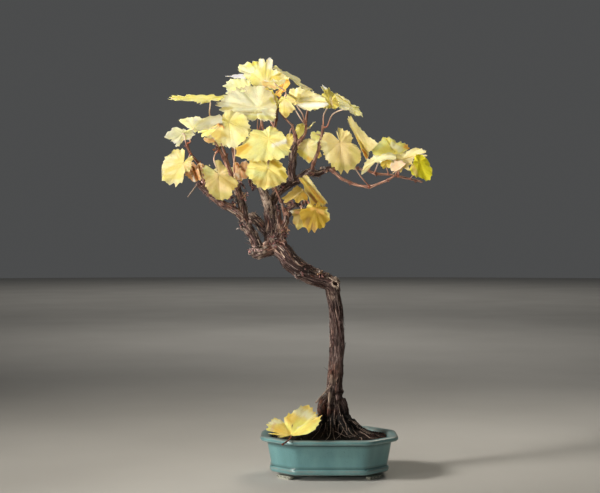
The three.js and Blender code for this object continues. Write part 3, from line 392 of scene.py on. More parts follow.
def makeBarkMaterial():
    # Old grapevine bark: dark brown fibres that shred in thin strips, nearly black in the furrows and
    # grey-pink on the crests, which is partly rubbed fibre and partly painted shade in the furrows and
    # painted highlight on the crests. "rise" is how light a place is painted for how high it stands, "bark"
    # runs with the limb, "pale" and "red" are bare wood and the rusty inner bark.
    material, tree, shader = newMaterial("shreddedVineBark")
    rise, bark, pale, red = (addNode(tree, "Attribute", {"attribute_name": name})
                             for name in ("rise", "bark", "pale", "red"))
    # fibres a third of a millimetre wide, drawn at 0.6 mm so that they show
    along = addNode(tree, "Mapping", {"Scale": (1.7, 1.7, 0.1)}, {"Vector": (bark, "Vector")})
    fibres = addNode(tree, "TexNoise", {"Scale": 1.0, "Detail": 5.0, "Roughness": 0.7}, {"Vector": along})
    wide = addNode(tree, "Mapping", {"Scale": (0.42, 0.42, 0.05)}, {"Vector": (bark, "Vector")})
    strips = addNode(tree, "TexNoise", {"Scale": 1.0, "Detail": 3.0}, {"Vector": wide})
    drawn = addNode(tree, "MapRange", {"From Min": 0.34, "From Max": 0.68, "To Max": 0.72},
                    {"Value": fibres})
    # painted light and shade: the higher a place stands, the lighter it is painted, with the fibres drawn
    # over it
    crestLightAndFibres = addNode(tree, "Math", {"operation": "MULTIPLY_ADD", 1: 0.5}, {0: (rise, "Fac"), 2: drawn})
    ramp = addNode(tree, "ValToRGB",
                   {"stops": [(0.2, "#0a0605"), (0.44, "#1c1210"), (0.66, "#3c2b28"), (0.86, "#74605a"),
                              (1.0, "#b9a69e")]}, {0: crestLightAndFibres})
    rusty = addNode(tree, "ValToRGB",
                    {"stops": [(0.2, "#0f0606"), (0.44, "#271512"), (0.7, "#4c302c"), (1.0, "#a08680")]},
                    {0: crestLightAndFibres})
    stripShare = addNode(tree, "MapRange", {"From Min": 0.48, "From Max": 0.62, "To Max": 0.85},
                         {"Value": strips})
    wood = addNode(tree, "Mix", {"data_type": "RGBA"}, {0: stripShare, 6: ramp, 7: rusty})
    innerBark = addNode(tree, "ValToRGB",
                        {"stops": [(0.2, "#1a0b07"), (0.5, "#582f25"), (0.75, "#986a55"),
                                   (1.0, "#d8b7a1")]}, {0: crestLightAndFibres})
    reddened = addNode(tree, "Mix", {"data_type": "RGBA"}, {0: (red, "Fac"), 6: (wood, 2), 7: innerBark})
    bareWood = addNode(tree, "ValToRGB",
                       {"stops": [(0.2, "#2b1f19"), (0.5, "#84705f"), (0.85, "#cdb9a6")]}, {0: crestLightAndFibres})
    finished = addNode(tree, "Mix", {"data_type": "RGBA"},
                       {0: (pale, "Fac"), 6: (reddened, 2), 7: bareWood})
    bump = addNode(tree, "Bump", {"Strength": 1.0, "Distance": 0.001}, {"Height": fibres})
    addNode(tree, shader, {"Roughness": 0.8, "IOR": 1.5, "Specular IOR Level": 0.3},
            {"Base Color": (finished, 2), "Normal": bump})
    return material


def makeCaneMaterial():
    # This year's canes: ripe orange-tan bark with fine dark lines along it, redder at the joints.
    material, tree, shader = newMaterial("ripeCaneBark")
    rise = addNode(tree, "Attribute", {"attribute_name": "rise"})
    bark = addNode(tree, "Attribute", {"attribute_name": "bark"})
    along = addNode(tree, "Mapping", {"Scale": (1.3, 1.3, 0.1)}, {"Vector": (bark, "Vector")})
    lines = addNode(tree, "TexNoise", {"Scale": 1.0, "Detail": 3.0, "Roughness": 0.6}, {"Vector": along})
    blotch = addNode(tree, "Mapping", {"Scale": (0.4, 0.4, 0.09)}, {"Vector": (bark, "Vector")})
    patches = addNode(tree, "TexNoise", {"Scale": 1.0, "Detail": 2.0}, {"Vector": blotch})
    ramp = addNode(tree, "ValToRGB",
                   {"stops": [(0.32, "#32171a"), (0.45, "#6f4030"), (0.56, "#a87a62"), (0.7, "#e0c2b0")]},
                   {0: lines})
    greyed = addNode(tree, "ValToRGB", {"stops": [(0.3, "#2f1c15"), (0.5, "#7d5b48"), (0.72, "#c5a893")]},
                     {0: lines})
    greyShare = addNode(tree, "MapRange", {"From Min": 0.48, "From Max": 0.62, "To Max": 0.8},
                        {"Value": patches})
    mixed = addNode(tree, "Mix", {"data_type": "RGBA"}, {0: greyShare, 6: ramp, 7: greyed})
    joint = addNode(tree, "Mix", {"data_type": "RGBA", 7: colour("#5e3020")},
                    {0: (rise, "Fac"), 6: (mixed, 2)})
    bump = addNode(tree, "Bump", {"Strength": 0.5, "Distance": 0.0003}, {"Height": lines})
    addNode(tree, shader, {"Roughness": 0.6}, {"Base Color": (joint, 2), "Normal": bump})
    return material


def makeSoilMaterial():
    # Potting mix: damp, nearly black peat with bark crumbs, and red-brown and pale grit in it.
    material, tree, shader = newMaterial("pottingMix")
    tint = addNode(tree, "Attribute", {"attribute_name": "tint"})
    place = addNode(tree, "TexCoord")
    crumbs = addNode(tree, "TexNoise", {"Scale": 700.0, "Detail": 5.0, "Roughness": 0.7},
                     {"Vector": (place, "Object")})
    share = addNode(tree, "MapRange", {"From Min": 0.35, "From Max": 0.7}, {"Value": crumbs})
    darker = addNode(tree, "HueSaturation", {"Value": 0.35}, {"Color": tint})
    mixed = addNode(tree, "Mix", {"data_type": "RGBA"}, {0: share, 6: darker, 7: tint})
    bump = addNode(tree, "Bump", {"Strength": 1.0, "Distance": 0.001}, {"Height": crumbs})
    addNode(tree, shader, {"Roughness": 0.93, "Specular IOR Level": 0.25},
            {"Base Color": (mixed, 2), "Normal": bump})
    return material


def makeGlazeMaterial():
    # Stoneware under a celadon glaze: it pools blue-green in the hollows and runs thin and brownish
    # over the edges, with a soft shine. "thin" is how thin the glaze is there, below 0 where it pools; the
    # near-black under the rim, in a line on the rim's face and above the foot band is partly that pooling
    # and partly painted shade.
    material, tree, shader = newMaterial("celadonGlaze")
    thin = addNode(tree, "Attribute", {"attribute_name": "thin"})
    place = addNode(tree, "TexCoord")
    # runs of glaze, some 40 mm wide and 120 mm long
    stretch = addNode(tree, "Mapping", {"Scale": (24.0, 24.0, 8.0)}, {"Vector": (place, "Object")})
    runs = addNode(tree, "TexNoise", {"Scale": 1.0, "Detail": 5.0, "Roughness": 0.55}, {"Vector": stretch})
    body = addNode(tree, "ValToRGB", {"stops": [(0.3, "#557f81"), (0.5, "#628f92"), (0.7, "#75a2a3")]},
                   {0: runs})
    # pooled glaze and painted shade: near-black under the rim, on the rim's face and above the foot band
    poolAndShade = addNode(tree, "MapRange", {"From Min": 0.0, "From Max": -1.0, "To Max": 0.9},
                   {"Value": (thin, "Fac")})
    body = addNode(tree, "Mix", {"data_type": "RGBA", 7: colour("#15302e")}, {0: poolAndShade, 6: body})
    specks = addNode(tree, "TexNoise", {"Scale": 900.0, "Detail": 2.0}, {"Vector": (place, "Object")})
    speckShare = addNode(tree, "MapRange", {"From Min": 0.64, "From Max": 0.72, "To Max": 0.4},
                         {"Value": specks})
    specked = addNode(tree, "Mix", {"data_type": "RGBA", 7: colour("#2c4b49")},
                      {0: speckShare, 6: (body, 2)})
    worn = addNode(tree, "TexNoise", {"Scale": 110.0, "Detail": 6.0, "Roughness": 0.7},
                   {"Vector": (place, "Object")})
    wornShare = addNode(tree, "Math", {"operation": "MULTIPLY_ADD", 1: 2.0, 2: -0.5, "use_clamp": True},
                        {0: worn})
    edge = addNode(tree, "Math", {"operation": "MULTIPLY"}, {0: (thin, "Fac"), 1: wornShare})
    finished = addNode(tree, "Mix", {"data_type": "RGBA", 7: colour("#8c7f74")},
                       {0: edge, 6: (specked, 2)})
    bump = addNode(tree, "Bump", {"Strength": 0.2, "Distance": 0.0005}, {"Height": runs})
    addNode(tree, shader, {"Roughness": 0.34, "IOR": 1.5, "Coat Weight": 0.3, "Coat Roughness": 0.15},
            {"Base Color": (finished, 2), "Normal": bump})
    return material


def makeClayMaterial(name, stops):
    # The feet are bare stoneware, fired grey-green, with painted shade in the carving.
    material, tree, shader = newMaterial(name)
    place = addNode(tree, "TexCoord")
    grit = addNode(tree, "TexNoise", {"Scale": 260.0, "Detail": 6.0, "Roughness": 0.65},
                   {"Vector": (place, "Object")})
    ramp = addNode(tree, "ValToRGB", {"stops": stops}, {0: grit})
    bump = addNode(tree, "Bump", {"Strength": 0.6, "Distance": 0.0005}, {"Height": grit})
    addNode(tree, shader, {"Roughness": 0.85}, {"Base Color": ramp, "Normal": bump})
    return material


def makeScreenMaterial():
    # Drain screen: moulded black polyethylene mesh, dull, with a little soil dust on it.
    material, tree, shader = newMaterial("mouldedPolyethylene")
    place = addNode(tree, "TexCoord")
    dust = addNode(tree, "TexNoise", {"Scale": 500.0, "Detail": 3.0}, {"Vector": (place, "Object")})
    ramp = addNode(tree, "ValToRGB", {"stops": [(0.4, "#1b1e20"), (0.7, "#3b342d")]}, {0: dust})
    addNode(tree, shader, {"Roughness": 0.55}, {"Base Color": ramp})
    return material


leafMaterial = makeLeafMaterial()
stalkMaterial = makeStalkMaterial()
barkMaterial = makeBarkMaterial()
scrapMaterial = makeScrapMaterial()
caneMaterial = makeCaneMaterial()
soilMaterial = makeSoilMaterial()
glazeMaterial = makeGlazeMaterial()
clayMaterial = makeClayMaterial("bareStoneware", [(0.3, "#6c6d62"), (0.5, "#a0a295"), (0.72, "#c3c3b5")])
# near-black painted shade in the carved grooves
carvingShadeMaterial = makeClayMaterial("paintedShadeInCarving", [(0.3, "#14110e"), (0.7, "#2d2823")])
screenMaterial = makeScreenMaterial()
print("materials made")

# Vine. Every limb is a way of (across, down, behind, radius) through its middle.
oldWood = [
    # trunk, from its crown in the soil up to the elbow and on to the head
    [(338, 455, 0, 11), (338, 441, 0, 14), (337, 428, 0, 12.5), (336, 418, 0, 10.8),
     (334.5, 407, 1, 9.6), (334, 397, 2, 8.9), (334.5, 385, 4, 8.9), (336, 367, 7, 8.6),
     (337, 343, 9, 8.6), (336.5, 318, 8, 7.6), (334, 298, 5, 7.4), (330.5, 284, 2, 9),
     (323, 280, 0, 9.3), (314, 277, -2, 9.6), (300, 269, -6, 9.9), (291, 262, -8, 9.8),
     (284, 253, -8, 9.8), (277, 246, -6, 9.4), (271, 239, -3, 8)],
    # knotty spur at the head, on the left
    [(276, 248, -6, 7.5), (266, 250, -10, 7), (258, 252, -13, 7.3), (252.5, 253.5, -14, 5.4)],
    # left branch
    [(259, 250, -12, 6.2), (252.4, 234.7, -14, 5.2), (246.6, 226.4, -14, 5.7), (244, 218, -12, 5),
     (242.5, 208, -9, 4.6), (239.9, 198, -5, 4.4), (237.4, 189.5, -2, 4.3), (236, 181, 1, 3.4),
     (235.5, 174, 4, 2.4)],
    # low side branch on the far left
    [(244, 218, -12, 4.4), (234, 210, -14, 4.3), (222, 203.5, -17, 4), (211, 195, -20, 3.8),
     (202, 187.5, -21, 3.5), (196.8, 183, -21, 2.4)],
    # bare stick on its end
    [(198.5, 182.5, -21, 1), (196, 186, -23, 0.9), (187.5, 197.2, -27, 0.7)],
    # middle branch, up to its fork
    [(273, 245, -2, 8.4), (270.8, 233, 1, 7.6), (271, 224, 2, 7.3), (270, 212, 4, 6.8),
     (270.5, 205, 5, 5.6)],
    # cut stump behind the left branch
    [(270, 235, 2, 5.8), (262, 226, 7, 5.6), (255, 219, 11, 5.4), (250.5, 214.5, 13, 4.6)],
    # left arm of the fork
    [(269.6, 210, 4, 5.2), (267.3, 203, 1, 4.9), (265, 196, -2, 4.7), (262, 189, -5, 4.4),
     (258, 181, -7, 3.6), (256, 175, -8, 2.6)],
    # right arm of the fork, which bends over into the right branch
    [(271, 209, 5, 5.2), (273.5, 200, 9, 4.9), (278.5, 191.5, 13, 5), (288.6, 184.3, 15, 5),
     (298.5, 179.7, 14, 4.9), (306, 174.6, 12, 4.6), (312, 171.5, 10, 4.3), (316, 173.6, 9, 3.4),
     (322.2, 172, 8, 2.9), (327.6, 169, 7, 2.9), (331.5, 168, 6, 2.5)],
    # dark spur at the head
    [(277.5, 241, -5, 4), (279.4, 228, -9, 3.6), (278.6, 217, -10, 3.4), (278, 207, -9, 2.4)],
    # reddish spur beside it
    [(281.4, 243, -7, 4.3), (283.4, 229, -10, 3.4), (286.2, 220, -10, 3.3), (285.6, 213, -10, 3),
     (283.5, 208, -10, 2.4)],
    # knotty twig under the right branch
    [(285, 211, -9, 2.8), (292, 206, -7, 2.6), (300, 204, -5, 2.4), (308, 202.3, -4, 1.9)],
    # upright in the middle
    [(292.5, 181, 14, 4.6), (291.6, 170, 13, 4.3), (293, 162.8, 12, 4.1), (292.8, 155, 11, 3.9),
     (294.5, 149, 10, 3.5), (295.6, 142, 9, 2.8)],
    # stub of a lost branch, low on the trunk
    [(328, 396, -4, 3.2), (323.4, 400, -7, 3.4), (321.2, 405, -8.5, 3.6), (320.8, 411, -9, 3.4),
     (321.4, 415, -9, 2.6)],
    # pale strip of dead root on the trunk's front
    [(330.2, 388, -8, 1.7), (329.6, 395, -11, 1.9), (329.4, 404, -12, 1.6), (329.2, 411, -12.5, 1.8),
     (329, 415.5, -12, 1.2)],
    # thin dead twig from the trunk down to that stub
    [(331, 386, -5, 1.2), (325, 392.5, -10, 1.1), (319, 399, -12, 1), (315.6, 403, -12, 0.8)],
]
canes = [
    # far left shoot
    [(203, 189, -21, 2.2), (203.6, 178, -24, 2), (203, 168, -26, 1.9), (197.4, 162, -29, 1.7),
     (190.8, 154, -31, 1.6), (188.3, 149, -32, 2), (186.7, 143.5, -33, 1.3)],
    # left cane
    [(236.4, 186, -1, 2.8), (231, 176, -3, 2.5), (228, 168.6, -4, 2.3), (223.5, 157.8, -5, 2.1),
     (218.9, 148.7, -7, 2), (214.6, 141.8, -8, 1.5)],
    # second left cane
    [(236.8, 183, 2, 2.4), (231, 172, 4, 2.1), (226, 157, 3, 1.9), (222.4, 145, 1, 1.8),
     (221.6, 136, 0, 1.7), (220.4, 129, 2, 1.6), (216, 126.4, 3, 1.4), (211, 124.8, 4, 1)],
    # cane behind the big front leaf
    [(256, 178, -8, 2.6), (256.6, 163, -10, 2.2), (257.6, 150, -12, 2), (259, 138, -14, 1.9),
     (260, 128.5, -15, 1.4)],
    # cane up to the crown
    [(258.4, 184, -5, 2.6), (262.5, 168, 0, 2.4), (268, 150, 4, 2.2), (273, 134, 6, 2.1),
     (275.3, 124.5, 6, 2), (276.4, 115, 5, 1.9), (276.6, 105, 4, 1.8), (279.6, 96.5, 2, 1.3)],
    # its fork, up behind the crown
    [(274.4, 128, 6, 1.9), (268.5, 115, 14, 1.7), (265, 101, 18, 1.6), (263.4, 89, 18, 1.4),
     (262.4, 80, 17, 1.1)],
    # thin link from the crown's cane to the upright
    [(277, 108, 4, 1.4), (284, 117, 6, 1.2), (292.6, 126, 7, 1.3)],
    # cane on the upright's left
    [(295.6, 145, 9, 2.7), (295.4, 138, 8, 2.4), (293.8, 130.7, 7, 2.2), (292.2, 124.2, 6, 1.7)],
    # cane on its right
    [(295.6, 144.6, 9, 2.5), (298.6, 141.2, 8, 2.1), (302.4, 137.4, 7, 2), (304.8, 134, 6, 1.9),
     (306.2, 127.7, 5, 1.8), (305.8, 121.4, 3, 1.4)],
    # upright cane on the right branch
    [(311.8, 172, 9, 2.7), (312.8, 165.6, 7, 2.4), (315.5, 158.3, 4, 2.3), (318.4, 150.6, 1, 2.2),
     (320, 142.2, -1, 2.1), (322, 134.5, -3, 2), (322.8, 125, -5, 1.5)],
    # long cane that dips under the big right leaf
    [(329.6, 168.4, 6, 2.5), (335, 173, 4, 2.1), (341, 178.2, 2, 2.2), (348, 181.6, 0, 1.9),
     (356, 184.8, -2, 2.1), (363, 186.2, -4, 1.8), (369.4, 186.9, -6, 2), (378, 184, -9, 1.7),
     (389.5, 179.1, -14, 1.6), (396.4, 174.4, -17, 1.4)],
    # long cane behind it
    [(329, 169, 7, 2.4), (343, 167.4, 13, 1.9), (357, 168.6, 17, 1.8), (368.4, 170.8, 19, 1.8),
     (374.2, 173.3, 19, 1.9), (389.5, 174.8, 18, 1.6), (398.1, 176.4, 17, 1.8), (410.5, 179.1, 15, 1.5),
     (422.4, 182, 13, 1.3)],
    # far side, left
    [(237.6, 190, -1, 2.8), (236.5, 177, 14, 2.4), (234.5, 160, 27, 2.1), (232.5, 145, 35, 1.9),
     (231.5, 135, 38, 1.4)],
    # far side, middle
    [(276.5, 195, 11, 2.9), (272, 180, 25, 2.4), (268.6, 165, 34, 2.2), (267, 150, 39, 2),
     (263.6, 131, 43, 1.8), (259.4, 113, 45, 1.6), (257.6, 104, 46, 1.2)],
    # far side, right
    [(293.2, 160, 13, 2.5), (296, 152, 30, 2.1), (303, 134, 38, 1.9), (307, 114, 40, 1.6),
     (308.4, 105, 41, 1.2)],
    # thin red cane up to the yellow front leaf
    [(283.6, 209.5, -10, 2), (279.2, 198, -14, 1.6), (275.8, 189, -19, 1.5), (272, 181.5, -26, 1.2)],
]
roots = [
    [(338, 394, 1, 4.5), (339.6, 408, 0, 4.2), (344, 416, -1, 4), (350.5, 422, -3, 3.8),
     (358, 427.6, -6, 3.4), (368, 434.4, -8, 3), (382, 442, -10, 2.2)],
    [(337, 394, -1, 4.6), (338, 410, -5, 4.4), (341, 422, -14, 4), (347, 431, -22, 3.6),
     (354, 441, -31, 2.8)],
    [(335, 394, -1, 4.6), (333.4, 409, -6, 4.4), (332, 422, -15, 4.2), (330, 432, -24, 3.6),
     (328, 443, -33, 2.6)],
    [(331, 394, 0, 4.6), (325.6, 405, -2, 4.4), (322.6, 416, -5, 4.4), (320, 426, -9, 4),
     (314, 435, -14, 3), (308, 443, -18, 2.2)],
    [(333, 396, 3, 4.6), (328, 410, 5, 4.4), (323, 421, 13, 4.2), (317, 432, 22, 3.2),
     (308, 441, 28, 2.4)],
    [(335, 394, 4, 4.6), (335, 410, 8, 4.4), (336, 421, 17, 4.2), (338, 431, 27, 3.4),
     (341, 441, 36, 2.4)],
    [(338, 394, 3, 4.4), (339.8, 410, 5, 4.2), (346, 420, 11, 4), (356, 430, 19, 3.2),
     (370, 440, 25, 2.2)],
]

# Swollen knots and stubs on the old wood: across, down, behind, radius.
knots = [
    (333.5, 282, -3, 6.8), (327, 276, -5, 4), (318, 272.5, -5, 4.2), (309, 268, -7, 4),
    (298, 275, -9, 4), (286, 263, -13, 4.2), (272, 240, -12, 5), (266, 245, -15, 4.2),
    (256, 247, -17, 4), (251.5, 252, -16, 3.4), (258.5, 256, -14, 3.6), (277, 235.5, -10, 4),
    (285.5, 228, -12, 3), (284, 243, -13, 3.8), (248.5, 233, -17, 3.6), (243, 227.5, -15, 3.4),
    (250.5, 222, -15, 2.8), (243.5, 212.5, -13, 3.2), (239.5, 194, -6, 3), (268, 214, -1, 3.4),
    (273, 221, -3, 3.2), (277, 206, -11, 2.8), (268.5, 202, -2, 3), (260.5, 186, -8, 2.8),
    (287, 213.5, -12, 2.8), (292, 205.5, -9, 2.6), (300, 180, 9, 3.2), (308, 174, 7, 3),
    (222, 203, -20, 3), (212, 196, -22, 2.8), (203, 189, -22, 3), (290, 183, 10, 3.2), (337, 398, -6, 4),
    (329, 403, -5, 4.4), (341, 392, 2, 3), (331, 372, 0, 3.2), (340.5, 352, 4, 3), (332.5, 338, 4, 3),
    (340, 322, 3, 3), (333, 309, 1, 3),
]

# The shaggy mass of roots between the main ones: down in the picture, and radius. It stands a little
# to the right of the trunk and is wider than it is deep.
rootMass = [
    (398, 6), (405, 8), (411, 9), (418, 11), (424, 14.5), (429, 20), (433, 26), (437, 32), (441, 36),
]
rootMassLook = {"right": 2, "wide": 1.08, "deep": 0.86, "sides": 40, "uneven": (0.16, 0.09)}

# Rubbed, chipped or cut places that show pale wood, and places of rusty inner bark: across, down,
# behind, radius, how strong.
paleWood = [
    (336, 281, -8, 4, 0.7), (328, 275, -8, 3.4, 0.4), (318, 270, -10, 4, 0.4), (272, 242, -17, 4, 0.6),
    (264, 249.5, -19, 5, 0.75), (257, 254, -19, 5, 0.7), (252, 249, -19, 4, 0.7),
    (283, 238, -16, 3, 0.5), (246, 230, -19, 3.6, 0.5), (243.5, 222, -18, 3, 0.5),
    (265, 198, -6, 9, 0.75), (262, 189, -9, 6, 0.6), (269, 208, -5, 7, 0.6), (250.5, 215, 9, 5, 0.5),
    (279, 226, -14, 3, 0.4), (332, 296, -4, 5, 0.3), (329.6, 397, -13, 6, 0.7),
    (329.4, 405, -13, 4, 0.5), (333, 379, -3, 5, 0.35), (241, 199, -9, 6, 0.35), (246, 226, -19, 6, 0.3),
]
rustyWood = [
    (284.5, 226, -12, 7, 0.9), (285, 213, -12, 6, 0.9), (283, 240, -14, 5, 0.6), (270, 246, -16, 7, 0.5),
    (236, 207, -18, 6, 0.9), (226, 203, -20, 6, 0.7), (213, 196, -23, 5, 0.7), (238, 190, -6, 6, 0.6),
    (320.8, 408, -13, 7, 1), (329.2, 411, -14, 4, 0.7), (292, 206, -9, 5, 0.6), (302, 204, -6, 6, 0.6),
    (241, 216, -15, 5, 0.6), (333, 413, -12, 4, 0.4), (334, 372, -4, 8, 0.4),
]

woodRuns = {}  # the middle line of every limb, cut in short straight runs
woodLines = [limbWay(limb, 1.5) for limb in oldWood]
woodFrames = [framesAlong(line[0]) for line in woodLines]

oldWoodLook = {
    "step": 3.0, "sides": 20, "thin": 1.5,  # a limb with no thicker place is a loose dead twig
    "voxel": 0.85, "soften": 5,  # of the skin that all limbs are grown together in
    "strip": 3.1, "stripDepth": 1.3,  # long strips of bark, wide and deep
    "fibre": 1.5, "fibreDepth": 0.8,
    "lump": 6, "lumpDepth": 1.7,
    "plate": 5, "plateDepth": 0.9,  # bark that breaks off in steps
    "clutter": 1.6,  # of the fine roots matted over the root crown
    "twist": 0.012,  # of the strips round a limb, for each millimetre along it
    "crown": 84,  # height up to which the root crown is shaggy, dark and damp
}


def recordLimb(index, centres, radii, marks):
    onward, side, out = framesAlong(centres)
    count = len(centres) - 1
    runs = {"start": centres[:-1], "end": centres[1:], "radius": radii[:-1], "side": side[:-1],
            "out": out[:-1], "onward": onward[:-1], "mark": marks[:-1],
            "limb": np.full(count, index), "own": np.full(count, radii.mean())}
    for name, values in runs.items():
        woodRuns.setdefault(name, []).append(values)


def placeOnWood(points, among=None):  # the nearest limb to each point: where along and round it
    store = {name: np.concatenate(values) for name, values in woodRuns.items()}
    if among is not None:
        keep = np.isin(store["limb"], among)
        store = {name: values[keep] for name, values in store.items()}
    run = store["end"] - store["start"]
    length = np.einsum("ij,ij->i", run, run)
    found = []
    for first in range(0, len(points), 3000):
        part = points[first:first + 3000]
        share = np.clip((part @ run.T - np.einsum("ij,ij->i", store["start"], run)) / length, 0, 1)
        nearest = np.stack([store["start"][None, :, k] + share * run[None, :, k] - part[:, None, k]
                            for k in range(3)], axis=-1)
        distance = np.sqrt(np.einsum("ijk,ijk->ij", nearest, nearest))
        best = np.argmin(distance / (store["radius"] + 2), axis=1)
        rows = np.arange(len(part))
        away = -nearest[rows, best]
        right = np.einsum("ij,ij->i", away, store["side"][best])
        ahead = np.einsum("ij,ij->i", away, store["out"][best])
        place = {name: store[name][best] for name in ("radius", "limb", "own", "onward")}
        place.update(centre=part - away, distance=distance[rows, best], angle=np.arctan2(ahead, right),
                     mark=store["mark"][best] + share[rows, best] * np.sqrt(length[best]))
        found.append(place)
    return {name: np.concatenate([place[name] for place in found]) for name in found[0]}


def barkSpot(place):  # a place on the bark as (round, round, along), so that it has no seam
    turn = place["angle"] + place["mark"] * oldWoodLook["twist"]
    return np.stack([np.cos(turn) * place["own"] + place["limb"] * 31.7,
                     np.sin(turn) * place["own"] + place["limb"] * 17.3, place["mark"]], axis=1)


def barkRise(spot, look):  # how far the bark stands out, and how light it is painted for that: painted highlight on the crests and painted shade in the hollows
    strips = ridged(spot / (look["strip"], look["strip"], look["strip"] * 7), 3)
    fibres = ridged(spot / (look["fibre"], look["fibre"], look["fibre"] * 9), 5)
    lumps = cloud(spot / (look["lump"], look["lump"], look["lump"] * 1.6), 9)
    plates = np.floor(cloud(spot / (look["plate"], look["plate"], 22), 12) * 5) / 5
    lift = look["stripDepth"] * (strips - 0.5) + look["fibreDepth"] * (fibres - 0.5)
    lift += look["lumpDepth"] * (lumps - 0.5) + look["plateDepth"] * (plates - 0.4)
    return lift, 0.45 * strips + 0.3 * fibres + 0.35 * plates


def woodSkin():  # all thick limbs, knots and the root mass, grown together in one skin
    shell = Shell()
    for index, limb in enumerate(oldWood + canes + roots):
        centres, radii, marks = limbWay(limb, oldWoodLook["step"])
        recordLimb(index, centres, radii, marks)
        if limb in roots or limb in oldWood and max(row[3] for row in limb) > oldWoodLook["thin"]:
            shell.add(*tube(centres, radii, oldWoodLook["sides"]))
    for across, down, behind, radius in knots:
        steps = np.linspace(-0.9, 0.9, 6)
        lean = np.array([draw(across, 1) - 0.5, draw(across, 2) - 0.5, draw(across, 3) + 0.3])
        centres = seen((across, down, behind)) + steps[:, None] * radius * lean / np.linalg.norm(lean)
        shell.add(*tube(centres, radius * np.sqrt(1.02 - steps ** 2), 10))
    foot = seen((337, 430, 0))
    mass = np.array([(foot[0] + rootMassLook["right"], foot[1], seen((337, down, 0))[2])
                     for down, _ in rootMass])
    sides = rootMassLook["sides"]
    turn = np.arange(sides) * 2 * math.pi / sides
    wave, ripple = rootMassLook["uneven"]
    uneven = 1 + wave * np.sin(turn * 7 + 1) + ripple * np.sin(turn * 11)
    wide = np.array([radius for _, radius in rootMass])[:, None] * uneven
    ring = np.stack([np.cos(turn) * rootMassLook["wide"], np.sin(turn) * rootMassLook["deep"],
                     np.zeros(sides)], axis=-1)
    ring = mass[:, None] + ring[None] * wide[..., None]
    shell.add(np.vstack([ring.reshape(-1, 3), mass[:1], mass[-1:]]), ringFaces(len(mass), sides))
    skin = shell.piece("skin", [])
    remesh = skin.modifiers.new("grow together", "REMESH")
    remesh.mode = "VOXEL"
    remesh.voxel_size = oldWoodLook["voxel"] * mm
    soften = skin.modifiers.new("soften", "SMOOTH")
    soften.iterations = oldWoodLook["soften"]
    for modifier in (remesh, soften):
        applyModifier(skin, modifier)
    return skin


def nearPatches(points, patches, reach, grain, seed):  # 1 in the middle of a patch, ragged at its edge
    strongest = np.zeros(len(points))
    for *spot, radius, strength in patches:
        distance = np.linalg.norm(points - seen(spot), axis=1)
        strongest = np.maximum(strongest, strength * smoothStep(reach - distance / radius))
    return strongest * smoothStep(cloud(points / grain, seed) * 2.4 - 0.5)


def growOldWood():
    skin = woodSkin()
    normals = np.zeros(len(skin.data.vertices) * 3, np.float32)
    skin.data.vertex_normals.foreach_get("vector", normals)
    points, faces = takeMesh(skin)
    points = (points - potMiddle) * 1000
    height = points[:, 2]
    limbs = list(range(len(oldWood))) + list(range(len(oldWood + canes), len(oldWood + canes + roots)))
    place = placeOnWood(points, limbs)
    spot = barkSpot(place)
    lift, rise = barkRise(spot, oldWoodLook)
    size = np.clip(place["radius"] / 8, 0.35, 1)  # thin limbs have shallower bark
    size = np.where(height < oldWoodLook["crown"], np.maximum(size, 0.9), size)
    clutter = ridged(points / (1.8, 1.8, 5), 14) + cloud(points / 2.6, 15) - 1
    lift = lift + oldWoodLook["clutter"] * clutter * smoothStep((oldWoodLook["crown"] - height) / 14)
    moved = points + normals.reshape(-1, 3) * (lift * size)[:, None]
    pale = nearPatches(points, paleWood, 1.6, 2.4, 21)
    red = nearPatches(points, rustyWood, 1.8, (2, 2, 5), 22)
    damp = smoothStep((oldWoodLook["crown"] - 2 - height) / 26)
    rise = rise * (1 - damp) - 0.85 * damp
    red *= 1 - 0.8 * smoothStep((oldWoodLook["crown"] - 18 - height) / 12)
    piece = newPiece("oldWood", moved, faces, [barkMaterial], None,
                     {"rise": rise, "bark": spot, "pale": pale, "red": red}, 180)
    print("old wood:", len(faces), "faces")
    finish(piece, "bark", "vine")


flakeLook = {"count": 900, "steps": 5, "long": (4, 17), "wide": (0.6, 1.9), "thick": 0.28, "lift": 2.1,
             "lowest": 64, "high": 230}  # above high, more of them are pale or rusty


